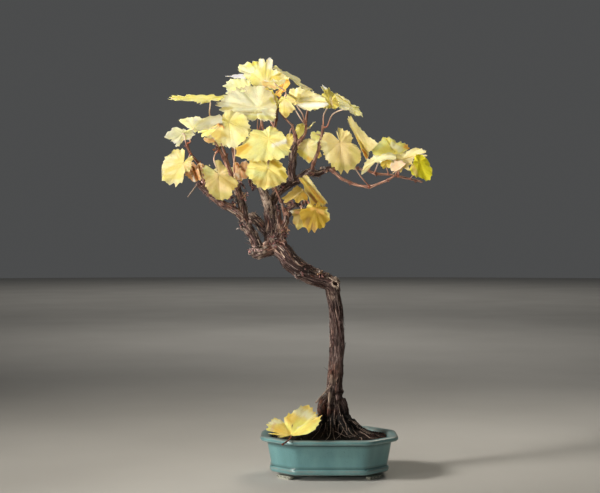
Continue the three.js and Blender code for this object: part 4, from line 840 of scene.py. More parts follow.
def peelFlakes():  # loose strips of bark along the old wood, standing off at one end
    shell = Shell()
    weights = [len(limb) * max(row[3] for row in limb) for limb in oldWood]
    steps = flakeLook["steps"]
    corners = 5  # of a strip's section
    while shell.count < flakeLook["count"] * (steps * corners + 2):
        index = random.choices(range(len(oldWood)), weights)[0]
        centres, radii, marks = woodLines[index]
        if radii.max() < 2:
            continue
        onward, side, out = woodFrames[index]
        length = random.uniform(*flakeLook["long"])
        first = random.uniform(0, max(marks[-1] - length, 1))
        at = np.interp(np.linspace(first, first + length, steps), marks, np.arange(len(marks)))
        low = np.minimum(at.astype(int), len(marks) - 2)
        part = (at - low)[:, None]
        line = centres[low] * (1 - part) + centres[low + 1] * part
        if line[0][2] < flakeLook["lowest"]:
            continue
        radius = radii[low] + 0.25 + random.uniform(-0.2, 0.4) * radii[low] / 8
        turn = random.uniform(0, 2 * math.pi) + np.linspace(0, random.uniform(-0.25, 0.25), steps)
        away = side[low] * np.cos(turn)[:, None] + out[low] * np.sin(turn)[:, None]
        across = np.cross(onward[low], away)
        share = np.linspace(0, 1, steps)
        if random.random() < 0.5:
            share = share[::-1]
        lift = random.uniform(0.1, 1) ** 2 * flakeLook["lift"] * share ** 3 + 0.5 * np.sin(share * 3) * 0.3
        wide = random.uniform(*flakeLook["wide"]) / 2 * np.sqrt(np.sin(np.linspace(0.25, 2.9, steps)))
        middle = line + away * (radius + lift)[:, None]
        curl = away * (wide * 0.25)[:, None]
        thick = away * flakeLook["thick"]
        left = middle - across * wide[:, None] - curl
        right = middle + across * wide[:, None] - curl
        ring = np.stack([left, right, right - thick * 0.8, middle - thick, left - thick * 0.8], axis=1)
        points = np.vstack([ring.reshape(-1, 3), ring[0].mean(axis=0), ring[-1].mean(axis=0)])
        spot = np.column_stack([np.tile(np.linspace(0, wide.max() * 2, corners), steps) + index * 31,
                                np.full(steps * corners, random.uniform(0, 90)),
                                np.repeat(share * length, corners)])
        high = line[0][2] > flakeLook["high"]
        shell.add(points, ringFaces(steps, corners), rise=random.uniform(0.15, 1.0),
                  bark=np.vstack([spot, spot[0], spot[-1]]),
                  pale=random.choice((0, 0, 0.2, 0.5, 0.7) if high else (0, 0, 0, 0.1, 0.45)),
                  red=random.choice((0, 0, 0.4, 0.8) if high else (0, 0, 0, 0, 0.3)))
    finish(shell.piece("barkFlakes", [barkMaterial], 30), "bark")


fibreLook = {"count": 620, "long": (2.5, 8), "radius": (0.12, 0.3), "lowest": 66,
             "head": (267, 246, -8), "around": 45}  # most of them stand round the head


def fraySplinters():  # stiff frayed fibres that stand off the head and the branches
    shell = Shell()
    weights = [len(limb) for limb in oldWood]
    head = seen(fibreLook["head"])
    for _ in range(fibreLook["count"]):
        index = random.choices(range(len(oldWood)), weights)[0]
        centres, radii, _ = woodLines[index]
        onward, side, out = woodFrames[index]
        k = random.randrange(1, len(centres) - 1)
        near = math.exp(-(np.linalg.norm(centres[k] - head) / fibreLook["around"]) ** 2)
        if radii.max() < 2 or centres[k][2] < fibreLook["lowest"] or random.random() > 0.3 + near:
            continue
        turn = random.uniform(0, 2 * math.pi)
        away = side[k] * math.cos(turn) + out[k] * math.sin(turn)
        lean = onward[k] * random.choice((-1, 1)) * random.uniform(0.4, 2.2)
        aim = unit(away + lean + chance.normal(0, 0.3, 3))
        length = random.uniform(*fibreLook["long"])
        share = np.linspace(0, 1, 4)[:, None]
        line = centres[k] + away * radii[k] * 0.95 + aim * share * length + away * share ** 2 * 1.2
        radius = random.uniform(*fibreLook["radius"]) * np.array([1.2, 1, 0.8, 0.3])
        points, faces = tube(line, radius, 4)
        shell.add(points, faces, rise=random.uniform(0.3, 1.0), bark=points,
                  pale=random.choice((0, 0.3, 0.6)), red=random.choice((0, 0.5)))
    finish(shell.piece("frayedFibres", [barkMaterial], 60), "bark")


caneLook = {"step": 1.3, "sides": 14, "slim": 0.88, "relief": 0.22, "joint": 24, "swelling": 0.3,
            "jointLength": 1.7, "budLength": 3.2, "budRadius": 1.1}


def growCanes():  # canes with a swollen joint and a bud every couple of centimetres
    shell = Shell()
    sides = caneLook["sides"]
    angles = np.arange(sides) * 2 * math.pi / sides
    for index, limb in enumerate(canes):
        centres, radii, marks = limbWay(limb, caneLook["step"])
        joints = np.arange(6 + 9 * draw(index, 1), marks[-1], caneLook["joint"])
        near = np.zeros(len(marks))
        for joint in joints:
            near = np.maximum(near, np.exp(-((marks - joint) / caneLook["jointLength"]) ** 2))
        spot = np.stack([np.cos(angles)[None] * radii.mean() + np.zeros((len(marks), 1)) + index * 23.1,
                         np.sin(angles)[None] * radii.mean() + np.zeros((len(marks), 1)) + index * 11.9,
                         np.repeat(marks[:, None], sides, axis=1)], axis=-1).reshape(-1, 3)
        relief = cloud(spot / (1.1, 1.1, 9), 31).reshape(len(marks), -1)
        shape = radii[:, None] * (caneLook["slim"] + caneLook["relief"] * (relief - 0.5)
                                  + caneLook["swelling"] * near[:, None])
        points, faces = tube(centres, shape, sides)
        rise = np.append(np.repeat(near, sides) * 0.8, (0, 0))
        shell.add(points, faces, bark=np.vstack([spot, spot[0], spot[-1]]), rise=rise)
        onward, side, out = framesAlong(centres)
        for number, joint in enumerate(joints):
            k = min(int(joint / marks[-1] * (len(marks) - 1)), len(marks) - 1)
            turn = number * math.pi + draw(index, 5) * 6
            away = side[k] * math.cos(turn) + out[k] * math.sin(turn)
            steps = np.linspace(0, 1, 5)
            aim = unit(away * 0.9 + onward[k] * 0.8)
            bud = centres[k] + away * radii[k] * 0.7 + np.outer(steps * caneLook["budLength"], aim)
            points, faces = tube(bud, caneLook["budRadius"] * np.sqrt(1 - steps ** 1.8 * 0.97), 7)
            shell.add(points, faces, bark=points, rise=0.75)
    finish(shell.piece("canes", [caneMaterial], 60), "bark")


def makeDeadTwigs():  # two thin dry twigs, grey and a little crooked
    shell = Shell()
    sides = 8
    for limb in oldWood:
        if max(row[3] for row in limb) > oldWoodLook["thin"]:
            continue
        centres, radii, _ = limbWay(limb, 1.4)
        centres = centres + 0.5 * (cloud(centres / 4, 33) - 0.5)[:, None]
        spot = np.repeat(centres, sides, axis=0) / 0.9 + np.tile(np.arange(sides), len(centres))[:, None]
        relief = cloud(spot, 34).reshape(-1, sides)
        points, faces = tube(centres, radii[:, None] * (0.7 + 0.6 * relief), sides)
        shell.add(points, faces, rise=0.75, bark=points, pale=0.45, red=0.0)
    finish(shell.piece("deadTwigs", [barkMaterial], 60), "bark")


woundLook = {"at": (335.3, 283.3, -11), "faces": (0.3, -0.9, 0.2), "radius": 2.9, "lip": 0.16, "deep": 3}

# Split lips of bark over the wound: across, down, behind, radius.
woundLips = [
    [(329, 277.4, -10, 0.4), (333.4, 280.4, -12, 0.8), (337, 281.8, -12, 0.8), (340, 282.6, -9, 0.4)],
    [(331, 282, -12.4, 0.4), (333.4, 285, -13, 0.8), (337.4, 288, -12, 0.8), (339, 289.4, -10, 0.3)],
    [(340, 282.4, -9, 0.4), (338.2, 284.4, -11.6, 0.7), (338.6, 287.6, -11.6, 0.5)],
]


def makeWound():  # an old pruning wound at the elbow: a pale rolled lip round a dark hollow
    way = unit(np.array(woundLook["faces"], float))
    middle = seen(woundLook["at"])
    right = unit(np.cross((0, 0, 1), way))
    top = np.cross(way, right)
    bpy.ops.mesh.primitive_torus_add(major_segments=36, minor_segments=10, major_radius=1,
                                     minor_radius=woundLook["lip"])
    points, faces = takeMesh(bpy.context.object)
    uneven = 0.45 + 1.15 * cloud(points * 1.9 + 5, 41)
    points = points * np.column_stack([uneven, uneven * 1.25, uneven * 1.2]) * woundLook["radius"]
    points = middle + points[:, :1] * right + points[:, 1:2] * top + points[:, 2:] * way
    shell = Shell()
    shell.add(points, faces, rise=0.2 + 0.8 * cloud(points / 1.2, 42), bark=points, pale=0.9, red=0.0)
    for rows in woundLips:
        centres, radii, _ = limbWay(rows, 0.8)
        relief = cloud(np.repeat(centres, 8, axis=0) / 1.1, 43).reshape(-1, 8)
        points, faces = tube(centres, radii[:, None] * (0.6 + 0.8 * relief), 8)
        shell.add(points, faces, rise=0.3 + 0.7 * cloud(points / 1.2, 42), bark=points, pale=0.85, red=0.0)
    sides = 18
    turn = np.arange(sides) * 2 * math.pi / sides
    disc = middle + np.outer(np.cos(turn) * 0.95, right) * woundLook["radius"]
    disc = disc + np.outer(np.sin(turn) * 1.2, top) * woundLook["radius"]
    deep = way * woundLook["deep"]
    points = np.vstack([disc - way * 0.6, disc - deep, middle - way * 1.4, middle - deep])
    shell.add(points, ringFaces(2, sides), rise=0.0, bark=points, pale=0.0, red=0.3)
    finish(shell.piece("pruningWound", [barkMaterial], 60), "bark")


# Dead bits of leaf, bud scales and shreds that hang in the branches: across, down, behind, how far
# they are spread in pixels, how many, and their tints.
scraps = [
    (247, 180, -13, 5, 60, ("pink", "brown", "rose")),
    (252, 187, -9, 4.5, 44, ("rose", "brown", "pink")), (243, 196, -12, 5, 26, ("tan", "rose", "brown")),
    (233, 205, -17, 5, 24, ("brown", "tan", "rose")), (203, 184, -24, 4, 24, ("rose", "pink", "brown")),
    (211, 194, -23, 4, 16, ("tan", "rose", "brown")), (290, 203, -12, 4.5, 30, ("pink", "rose", "tan")),
    (301, 205, -9, 4.5, 26, ("rose", "grey", "dark")), (289, 213, -12, 3, 18, ("tan", "brown", "white")),
    (312, 174, 4, 4, 18, ("grey", "rose", "tan")), (325, 171, 3, 4, 14, ("grey", "tan", "rose")),
    (280, 187, 8, 4, 16, ("grey", "rose", "dark")), (243, 226, -18, 4, 22, ("grey", "rose", "dark")),
    (254, 250, -20, 5, 30, ("grey", "pink", "rose")), (272, 242, -18, 7, 34, ("grey", "rose", "brown")),
    (284, 232, -15, 6, 26, ("rose", "brown", "tan")), (278, 208, -13, 4, 18, ("rose", "grey", "dark")),
    (302, 272, -14, 6, 16, ("rose", "grey", "dark")), (320, 273, -10, 5, 14, ("grey", "rose", "tan")),
    (232, 196, -8, 3, 10, ("tan", "rose", "brown")), (217, 150, -9, 4, 12, ("orange", "brown", "tan")),
    (242, 168, -16, 4, 14, ("orange", "brown", "tan")),
]
scrapTints = {"pink": "#cfaaa4", "rose": "#8c605c", "tan": "#b08c6c", "brown": "#52302a",
              "grey": "#8f827c", "dark": "#2c1a16", "white": "#e6dcc4", "orange": "#a86c42"}
scrapLook = {"long": (2, 5), "wide": (1, 2.6), "bend": (-1.2, 1.6), "off": (0.6, 6), "thick": 0.14,
             "widths": (0.8, 1.2, 0.9, 1.1, 0.6)}  # along a ragged chip


def scatterScraps():  # curled, crumpled chips, each with its own turn and bend
    shell = Shell()
    share = np.linspace(-1, 1, 5)[:, None]
    ragged = np.array(scrapLook["widths"])[:, None]
    for across, down, behind, spread, count, names in scraps:
        for _ in range(count):
            spot = seen((random.gauss(across, spread * 0.5), random.gauss(down, spread * 0.5), behind))
            wood = placeOnWood(spot[None])
            centre, radius = wood["centre"][0], wood["radius"][0]
            off, most = scrapLook["off"]
            reach = np.clip(wood["distance"][0], radius + off, radius + most)
            spot = centre + unit(spot - centre) * reach
            onward = unit(chance.normal(0, 1, 3) + wood["onward"][0])
            side = unit(np.cross(onward, chance.normal(0, 1, 3)))
            up = np.cross(side, onward)
            long, wide = random.uniform(*scrapLook["long"]), random.uniform(*scrapLook["wide"])
            line = spot + onward * share * long / 2 + up * (share ** 2) * random.uniform(*scrapLook["bend"])
            half = side * wide / 2 * np.sqrt(1.05 - share ** 2) * ragged
            curl = up * random.uniform(0, 0.5) * wide
            thick = up * scrapLook["thick"]
            ring = np.stack([line - half + curl, line + thick, line + half + curl, line - thick], axis=1)
            tone = np.array(colour(scrapTints[random.choice(names)]))
            tone[:3] *= random.uniform(0.6, 1.45)
            shell.add(np.vstack([ring.reshape(-1, 3), line[0], line[-1]]), ringFaces(5, 4), tint=tone)
    finish(shell.piece("driedScraps", [scrapMaterial], 35), "dry_leaf")


growOldWood()
print("old wood grown")
peelFlakes()
fraySplinters()
scatterScraps()
growCanes()
makeDeadTwigs()
makeWound()
print("bark, canes and pruning wound made")

# Leaves. at is where the stalk meets the blade; points is the way of the tip and faces that of the
# upper face, both as right, away and up; size is from the stalk to the tip; fold of each half, roll of
# the sides and arch of the length are in degrees; tints are the main one, a second one that it drifts
# to, and how light the whole blade is painted, partly its own tone and partly painted light and shade
# for how brightly it is lit. A stroke is a line on the blade from one spot to another, with its width,
# its tint and how far it stands up; some strokes are painted highlights and painted shade on crests
# and folds.
leaves = {
    "left_1": {"at": (209, 99.6, -38), "points": (-1, 0, 0.02), "faces": (0.05, -0.2, 0.98), "size": 43,
        "stalk": ((211.8, 125, 4), (209.4, 113, -20)), "arch": -4, "tints": ("lemon", "butter", 1.05),
        "edge": [(169.6, 99.2), (172, 98.4), (175, 98.6), (180, 96), (183, 96.4), (187, 95), (191, 95.8),
        (195, 95), (197, 96.2), (200, 94.4), (203, 94.8), (206, 96.2), (212, 96), (218, 97), (224, 95.6),
        (228.6, 95), (227, 98), (222, 99.6), (216, 100.6), (213.6, 99.6), (209, 101), (205, 101),
        (201, 102.4), (198.4, 104.4), (196, 102.4), (191, 101.6), (187, 101), (183, 102), (180, 101),
        (177.6, 102.4), (174, 100.4)],
        "strokes": [(169, 99, 173, 99, 1.4, "pink"), (180, 98.4, 210, 98.6, 1.4, "butter"),
        (214, 98, 226, 97, 1.6, "lime")]},
    "left_2": {"at": (193, 128.4, -29), "points": (0.97, 0.1, 0.24), "faces": (-0.15, 0.4, 0.88),
        "size": 33, "stalk": ((186.7, 143.5, -33), (189.4, 137, -33)), "pleat": 0.15,
        "tints": ("cream", "lemonPale", 1.2),
        "edge": [(188.4, 128.2), (183.4, 124.2), (180, 121.8), (178.4, 119.4), (182, 118.6),
        (188.3, 118.8), (192, 117.4), (200, 116.8), (208.3, 116.2), (216.7, 115.6), (222, 116.4),
        (226, 120), (224, 124), (216.7, 127), (210, 128.6), (206.7, 130.4), (200, 131.8),
        (194.4, 131.8)]},
    "left_3": {"at": (182.4, 133.4, -58), "points": (-0.75, -0.35, -0.4), "faces": (-0.4, 0.55, 0.7),
        "size": 24, "stalk": ((186.7, 144.5, -33), (185, 140, -48)), "pleat": 0.15,
        "tints": ("cream", "lemonPale", 1.2),
        "edge": [(164, 136), (166.4, 133.4), (170, 131.4), (172.4, 129), (177.5, 127.2), (181, 128.4),
        (185.8, 129.8), (188.3, 128.3), (193.7, 131.7), (194.8, 135), (191, 137.4), (188, 140),
        (184.2, 140.8), (182, 143.6), (179, 145.4), (174.2, 147), (177, 143.4), (171.7, 142.6),
        (171, 139.2), (166.7, 138.4)]},
    "left_4": {"at": (183.4, 163, -52), "points": (-0.58, 0.1, -0.8), "faces": (-0.1, -1, 0.15),
        "size": 29, "stalk": ((190.8, 154, -31), (188.5, 158, -42)), "tints": ("lemon", "cream", 0.6),
        "edge": [(183.9, 160.4), (184.6, 156), (184.9, 151), (182.6, 148.3), (179.5, 149.8),
        (177.5, 148.6), (172, 150.8), (171.5, 154.3), (167.5, 155), (164.6, 158), (163.5, 162),
        (160.8, 165), (159, 169), (158.8, 174.5), (161.5, 176.5), (162, 180), (166, 183.3),
        (170.5, 184.6), (173.5, 183.3), (176, 186.6), (179, 183.8), (182.5, 182), (184.2, 178),
        (184, 174), (186, 171.3), (189, 171.8), (191.6, 166.5), (191.6, 161.5), (193.3, 158.3),
        (191, 155), (187.5, 158.3), (184.7, 161.7)],
        "strokes": [(166, 162, 176, 155, 4, "cream"), (166, 171, 182, 165, 2.4, "lemon", -0.4),
        (165, 178, 180, 176, 3, "lemon"), (184, 168, 189, 163, 3, "peach", 0.3)]},
    "left_5": {"at": (218.8, 174.6, -44), "points": (0.04, 0, -1), "faces": (-0.05, -1, 0.1), "size": 32,
        "stalk": ((218.9, 150, -7), (213.8, 159, -26)), "tints": ("dun", "sage", 0.64),
        "edge": [(217.8, 172.8), (213.6, 170), (210, 167.4), (206, 164.6), (203, 168), (201.8, 172),
        (204, 175), (203.2, 178), (205.3, 181), (205, 186), (208, 189.4), (209.5, 193.5), (213.5, 196),
        (216, 200), (219.5, 199), (222.5, 201.2), (226, 198.6), (229.5, 198.8), (232, 194.5),
        (233.4, 190.3), (237, 187), (238.8, 183.4), (236.4, 180.4), (234.5, 177.2), (231, 177.6),
        (228.6, 174.4), (227.4, 169.6), (224.6, 165.6), (222.6, 164), (221, 161), (218.4, 159.8),
        (215, 160.4), (215.6, 164), (216.6, 167.6), (217.4, 170.4)],
        "strokes": [(205, 168, 212, 172, 4, "greenish", -0.6), (210, 194, 230, 195, 4.5, "sage"),
        (220, 174, 223, 186, 7, "peach"), (219, 174, 221, 198, 2.2, None, -0.4),
        (221, 178, 234, 188, 4, "khaki"), (217, 174, 207, 188, 3, None, 0.3)]},
    "left_6": {"at": (229, 122, -56), "points": (0.1, -0.5, -0.85), "faces": (0, -0.8, 0.6), "size": 34,
        "stalk": ((233.5, 180, -2), (234, 168, -16), (234.8, 150, -30)),
        "tints": ("lemon", "cream", 0.77),
        "edge": [(206.3, 131), (209, 127.4), (215, 126), (220.5, 127.3), (223, 124), (221.8, 119),
        (222.5, 114.5), (226, 111.3), (232, 110.8), (238, 111.6), (243, 114.6), (247.6, 118.4),
        (248.6, 122.5), (250.6, 126.6), (247.3, 130.3), (249.6, 134), (246.4, 139.6), (241.5, 143),
        (237, 146), (233.6, 149.3), (231.5, 147.4), (228.4, 147), (225, 145), (221, 144.7), (217, 142),
        (213.5, 138), (209, 134)],
        "strokes": [(212, 132, 224, 139, 7, "khaki"), (225, 141, 234, 143, 4, "cream"),
        (215.5, 121.5, 219, 125.5, 1.4, "orange", 1.6), (219, 125.5, 223.5, 128, 1.6, "orange", 2),
        (229, 122, 236, 145, 2.5, None, -0.3)]},
    "left_7": {"at": (208, 131, 20), "points": (0.9, 0.25, 0.3), "faces": (-0.1, -0.4, 0.9), "size": 24,
        "stalk": ((215.4, 143, -8), (212.5, 137, 12)), "tints": ("khaki", "lemon", 1)},
    "crown_1": {"at": (258.6, 107.3, -28), "points": (-1, -0.25, 0.1), "faces": (-0.12, -0.76, 0.64),
        "size": 46, "stalk": ((259.6, 130, -15), (257.8, 120, -21)), "pleat": 0.1, "crumple": 0.5,
        "holes": [(243.2, 92, 2.9)], "tints": ("peach", "cream", 1.12),
        "edge": [(277, 108), (275.8, 112), (275.4, 119), (272, 122.3), (268, 120.9), (264, 122),
        (260, 120.8), (257.5, 117.6), (254, 120.4), (249, 120), (245, 116.5), (238, 114.4), (230, 113.5),
        (224.5, 112.6), (221.2, 112.2), (219.3, 110.4), (221.2, 108), (218, 107), (215.8, 105.2),
        (217, 102.6), (221, 99.7), (226, 95.4), (229.6, 92.6), (233.5, 91), (237, 88.4), (243, 86.4),
        (250, 85), (257, 85.4), (264, 87), (270, 90.6), (274, 96), (275.9, 101), (276.4, 104.6)],
        "strokes": [(222, 101.5, 238, 94, 5, "cream"), (244, 97, 256, 102, 6, "cream"),
        (264, 92, 273, 101, 5.5, "peach"), (271, 99, 274, 103, 2.4, "butter"),
        (223, 109, 231, 108.4, 2.4, "khaki"), (247, 117, 273, 118, 3.4, "lemon"),
        # the cream stroke on the crest of the turned-over edge is painted highlight, the khaki one below it
        # painted shade
        (234, 110.2, 266, 109.8, 2, "cream", 0.8), (236, 112.6, 262, 112.8, 0.8, "khaki", -0.5),
        (256, 107, 224, 100, 2.5, None, -0.4), (256, 105, 240, 89, 2.5, None, -0.4)]},
    "crown_2": {"at": (262.6, 105, -6), "points": (0.55, 0.1, 0.8), "faces": (0.2, -0.9, 0.3),
        "size": 22, "stalk": ((260, 128.5, -15), (261.4, 116, -6)), "tints": ("butter", "lemon", 1)},
    "crown_3": {"at": (259, 76, 19), "points": (-0.9, 0.1, 0.35), "faces": (0, -0.7, 0.7), "size": 27,
        "stalk": ((262.4, 80, 17), (261, 78, 18)), "tints": ("lemonPale", "cream", 1.12),
        "edge": [(263, 79), (263.4, 72), (260.8, 66), (257.6, 62), (253.6, 61.2), (251, 63.8),
        (246, 63.2), (241, 64.4), (236.9, 66.2), (239, 68.4), (238.2, 71.6), (241, 73.8), (243.6, 74),
        (244, 77), (248, 80), (255, 82)],
        "strokes": [(249, 66, 256, 63, 3, "butter"), (258, 76, 242, 69, 1.4, None, -0.8)]},
    "crown_4": {"at": (266, 84, 2), "points": (0.05, 0.05, 1), "faces": (0, -1, 0.1), "size": 29,
        "stalk": ((263.6, 91, 18), (265, 88, 8)), "tints": ("lemonPale", "cream", 0.66),
        "edge": [(266, 87.5), (259, 89), (253, 86.5), (249.4, 81), (250, 75), (254, 70.5), (258.2, 67.6),
        (258.4, 62), (260.3, 58.4), (263.3, 58.2), (264.8, 60.4), (265.4, 64), (266.5, 60.4),
        (268.8, 57.2), (271.7, 57.2), (273, 60), (272.4, 64.6), (271.8, 68.8), (275.5, 69.6),
        (281, 72.4), (286.6, 76), (290, 80), (287.4, 83.5), (280, 88), (272, 89.5)],
        "strokes": [(261.5, 60, 261.6, 65, 3, "white"), (270.4, 59, 269.6, 67, 3.2, "white"),
        (271, 78.5, 280, 74.6, 1.4, "olive", -0.8), (272, 78, 279, 78, 2.2, "butter")]},
    "crown_5": {"at": (252, 76.8, 52), "points": (-1, 0, 0.02), "faces": (-0.05, -0.24, 1), "size": 31,
        "stalk": ((262.6, 81.6, 17), (257, 81, 34)), "ruffle": 0.6, "tints": ("white", "white", 1.1)},
    "crown_6": {"at": (248, 88, 22), "points": (-1, 0, 0), "faces": (0, -1, 0.3), "size": 29,
        "stalk": ((263.8, 92, 18), (255, 90.5, 22)), "tints": ("lemonPale", "cream", 1.25),
        "edge": [(250, 79.4), (244, 79), (237, 79.4), (231, 78.8), (228, 79.8), (226.4, 82.6),
        (222.4, 86.2), (226.6, 87.4), (225.4, 90), (228, 92), (225.6, 95), (231, 96), (238, 96),
        (246, 95), (251, 89)]},
    "crown_7": {"at": (283, 88.6, -8), "points": (0.55, -0.1, 0.83), "faces": (-0.6, -0.7, 0.3),
        "size": 20, "stalk": ((278.6, 99, 3), (280, 97, -2)), "fold": 12,
        "tints": ("honey", "gold", 0.7),
        "edge": [(275, 95), (277, 91), (279.6, 87), (282.6, 83), (286, 79.6), (288.6, 79.4), (289.6, 82),
        (291, 84.6), (287.6, 88.4), (284, 92), (281.6, 95.6), (280, 97), (277.6, 96)],
        "strokes": [(277, 93.4, 284, 84, 0.8, "brown", -0.4), (283, 90, 288, 84, 3, "honey")]},
    "crown_8": {"at": (274, 82.6, -44), "points": (-1, -0.1, -0.05), "faces": (0.05, 0.3, 0.95),
        "size": 25, "stalk": ((277, 103, 4), (286, 93, -22)), "tints": ("gold", "lemon", 0.85),
        "edge": [(260.5, 82), (264.5, 81), (270, 79.6), (278, 79.8), (286.4, 79.6), (284.6, 82.4),
        (279, 84), (276.4, 86), (275, 88.8), (270.6, 87.6), (266, 87.2), (263, 85)],
        "strokes": [(265, 81, 286, 80.6, 1.4, "white"), (262, 84.6, 274, 87, 2.6, "amber"),
        (275, 83.4, 283, 82.8, 1.4, "lemon")]},
    "crown_9": {"at": (288, 76.4, 34), "points": (0.85, 0.1, -0.52), "faces": (0.44, -0.24, 0.86),
        "size": 36, "stalk": ((279.4, 97, 2), (284.5, 84, 24)), "tints": ("lemon", "butter", 1.1),
        "edge": [(273, 69.5), (274.4, 66.8), (277, 66.4), (281, 69.4), (287, 72.4), (293, 76),
        (299.6, 79.6), (302, 83), (306.5, 85.4), (312.6, 89.8), (308, 90.2), (304.5, 89.4), (301, 86.6),
        (297, 83), (293, 80.2), (289, 78.2), (285, 75.8), (281, 73.2), (277, 71.4), (274, 71.4)],
        "strokes": [(294, 80.4, 301, 86.6, 1.2, "olive", -0.5), (302, 86, 309, 89, 2, "ochre"),
        (276, 67, 299, 79.6, 0.7, "lemonPale"), (276, 71.4, 298, 82, 1.2, "lime")]},
    "crown_10": {"at": (296, 101.5, -32), "points": (0.97, -0.2, 0.02), "faces": (-0.15, -0.85, 0.5),
        "size": 33, "stalk": ((305.8, 121.4, 3), (302.4, 114, -14)),
        "tints": ("cream", "khakiPale", 0.74),
        "edge": [(285.8, 97), (289.2, 92.6), (289.3, 89.8), (292.5, 87.8), (296, 88.6), (300, 87),
        (304, 89.4), (309, 89.5), (313.5, 91.4), (317, 94), (321, 96), (325, 99), (327.6, 102.4),
        (327.8, 106), (325, 107.8), (320.5, 108.2), (317, 109), (313.6, 108.2), (310.5, 111),
        (307.4, 109.4), (303.5, 109), (300, 106.6), (295.5, 105.2), (291, 103.4), (288, 100)],
        "strokes": [(299, 105.8, 325, 105, 2.6, "white", 0.6), (300, 101.4, 326, 102.2, 1, "sage", -0.3),
        (299, 95, 300, 101, 1.6, "sage"), (288, 96, 296, 100.5, 1.1, "lemon", 1),
        (289, 93.4, 297, 98, 1, "sage", -1)]},
    "crown_11": {"at": (284, 99, -56), "points": (0.1, -0.15, -0.97), "faces": (-0.1, -1, 0.1),
        "size": 18, "stalk": ((306, 124, 4), (301, 119, -46), (291, 104, -55)),
        "tints": ("lemonPale", "lemon", 0.6),
        "edge": [(281.6, 96.4), (285, 96.6), (288.6, 100), (292, 104), (294.6, 107), (295.4, 109.4),
        (293, 111), (290.6, 113.4), (288.4, 116.4), (285.4, 118.4), (282.2, 115), (279.4, 110.6),
        (279, 105), (279.3, 100)],
        "strokes": [(282.5, 114, 287.5, 116.5, 2.2, "khaki"), (283, 104, 290, 105, 3, "cream"),
        (290, 110, 293, 109, 2, "peach")]},
    "top_1": {"at": (330.6, 101.6, -5), "points": (-0.45, 0.1, 0.9), "faces": (0.35, -0.88, 0.3),
        "size": 25, "stalk": ((322.8, 125.5, -5), (324, 114, -3)), "pleat": 0.3,
        "tints": ("butter", "lemonPale", 0.92),
        "edge": [(318, 83.6), (319.6, 83.4), (323.6, 86.4), (327, 88.6), (330, 88.2), (331.4, 91),
        (334.6, 93), (336.6, 96), (339, 98.4), (341, 102), (340, 105.6), (337.6, 107.4), (335.4, 109.4),
        (331.6, 108), (327.6, 109), (323.6, 107.8), (320, 104), (318.6, 100), (319.4, 96.4), (322.4, 94),
        (325, 91.4), (323.6, 89.4), (320.4, 86.6)],
        "strokes": [(318.6, 84, 326, 88.6, 1.6, "white"), (329, 92, 330, 99, 3, "butter"),
        (331, 98, 332, 106, 2, "peach")]},
    "top_2": {"at": (350, 107, -14), "points": (0.8, -0.15, -0.52), "faces": (0.5, -0.5, 0.7),
        "size": 30, "stalk": ((322.6, 127, -5), (333, 114, -10)), "tints": ("lemon", "khakiPale", 1.05),
        "edge": [(334.6, 93), (337, 93.2), (340, 96), (344.6, 98.6), (348, 99.4), (352, 103),
        (357.6, 106.8), (360, 109.6), (361, 113.4), (363, 117.2), (358, 115.6), (353, 113.6),
        (348.6, 111.4), (344, 110.4), (340.6, 107.6), (338.6, 104.4), (338, 100), (336.4, 96.6)],
        "strokes": [(338, 95.6, 345, 101.6, 0.8, "olive"), (344, 101, 352, 106, 1, "olive", -0.4),
        (350, 105, 357, 110.6, 1, "lime", -0.4), (342, 106, 352, 111, 1.6, "cream"),
        (340, 99, 360, 113, 2, "lemon")]},
    "right_1": {"at": (340.3, 142.6, -58), "points": (0.07, -0.05, -1), "faces": (0.05, -1, 0.1),
        "size": 35, "stalk": ((369.4, 186.9, -6), (362, 178, -30), (350, 160, -52)),
        "tints": ("dun", "khakiPale", 0.66),
        "edge": [(338.6, 140.6), (335, 137), (332, 134), (328.6, 132.4), (325, 132.2), (323.2, 135.4),
        (321.6, 138.6), (319.8, 142), (320.4, 146), (321, 149), (323.6, 152.4), (325, 157), (327.2, 161),
        (330.5, 163.6), (331.6, 167), (335, 168.4), (337, 171), (341, 174.2), (343.6, 170.4),
        (347.6, 172.7), (350.4, 170.6), (354.6, 168.4), (357.6, 165), (358, 162.4), (361.8, 161.2),
        (360.6, 158), (360.9, 154), (360.6, 150.4), (357, 148), (353.6, 146), (351.2, 142), (353, 138),
        (351, 134), (348.4, 131), (346, 130), (344.4, 131.2), (342.5, 128.4), (339, 127.6),
        (335.2, 128.6), (337, 132), (339, 136), (339.8, 140)],
        "strokes": [(334, 167, 355, 165, 4.5, "sage"), (352, 150, 358, 158, 4, "sage"),
        (324, 142, 328, 156, 2.6, "cream"), (341, 146, 346, 160, 6, "peach"),
        (340, 144, 345, 168, 2.4, None, -0.4), (342, 144, 356, 155, 2.4, None, 0.3),
        (337, 146, 328, 158, 2.4, None, 0.3)]},
    "right_2": {"at": (363, 147.4, -8), "points": (-0.5, 0, 0.86), "faces": (0, -1, 0), "size": 38,
        "stalk": ((368.4, 170.8, 19), (367, 156, 6)), "fold": 68, "tints": ("peach", "khakiPale", 0.95),
        "edge": [(344.3, 117.2), (347.5, 118.2), (350.4, 115.8), (353, 119.5), (357, 124), (361, 129),
        (365.5, 133), (367.5, 136.5), (371.5, 138.5), (375, 141), (378, 143), (376, 146), (372, 150),
        (369, 152), (368.8, 156), (366, 160), (364, 156), (362, 151), (361, 149.5), (360, 146.5),
        (357.5, 141), (355.5, 136.5), (353, 131), (351, 126.5), (349, 122.5), (346, 119.5)],
        "strokes": [(364, 152, 367, 158, 4, "amber"), (356, 128, 372, 146, 4, "peach")]},
    "right_3": {"at": (391.4, 152.8, 9), "points": (-0.3, 0.5, 0.7), "faces": (-0.1, -0.95, 0.3),
        "size": 25, "stalk": ((398.1, 176.4, 17), (396, 163, 14)), "tints": ("butter", "butter", 1.2),
        "edge": [(372, 154), (373, 146), (376, 142.4), (379.5, 141), (382, 138), (386, 137),
        (390, 138.4), (393.5, 140), (397, 142.4), (400, 141.2), (404, 143), (407.5, 146), (410.2, 148.6),
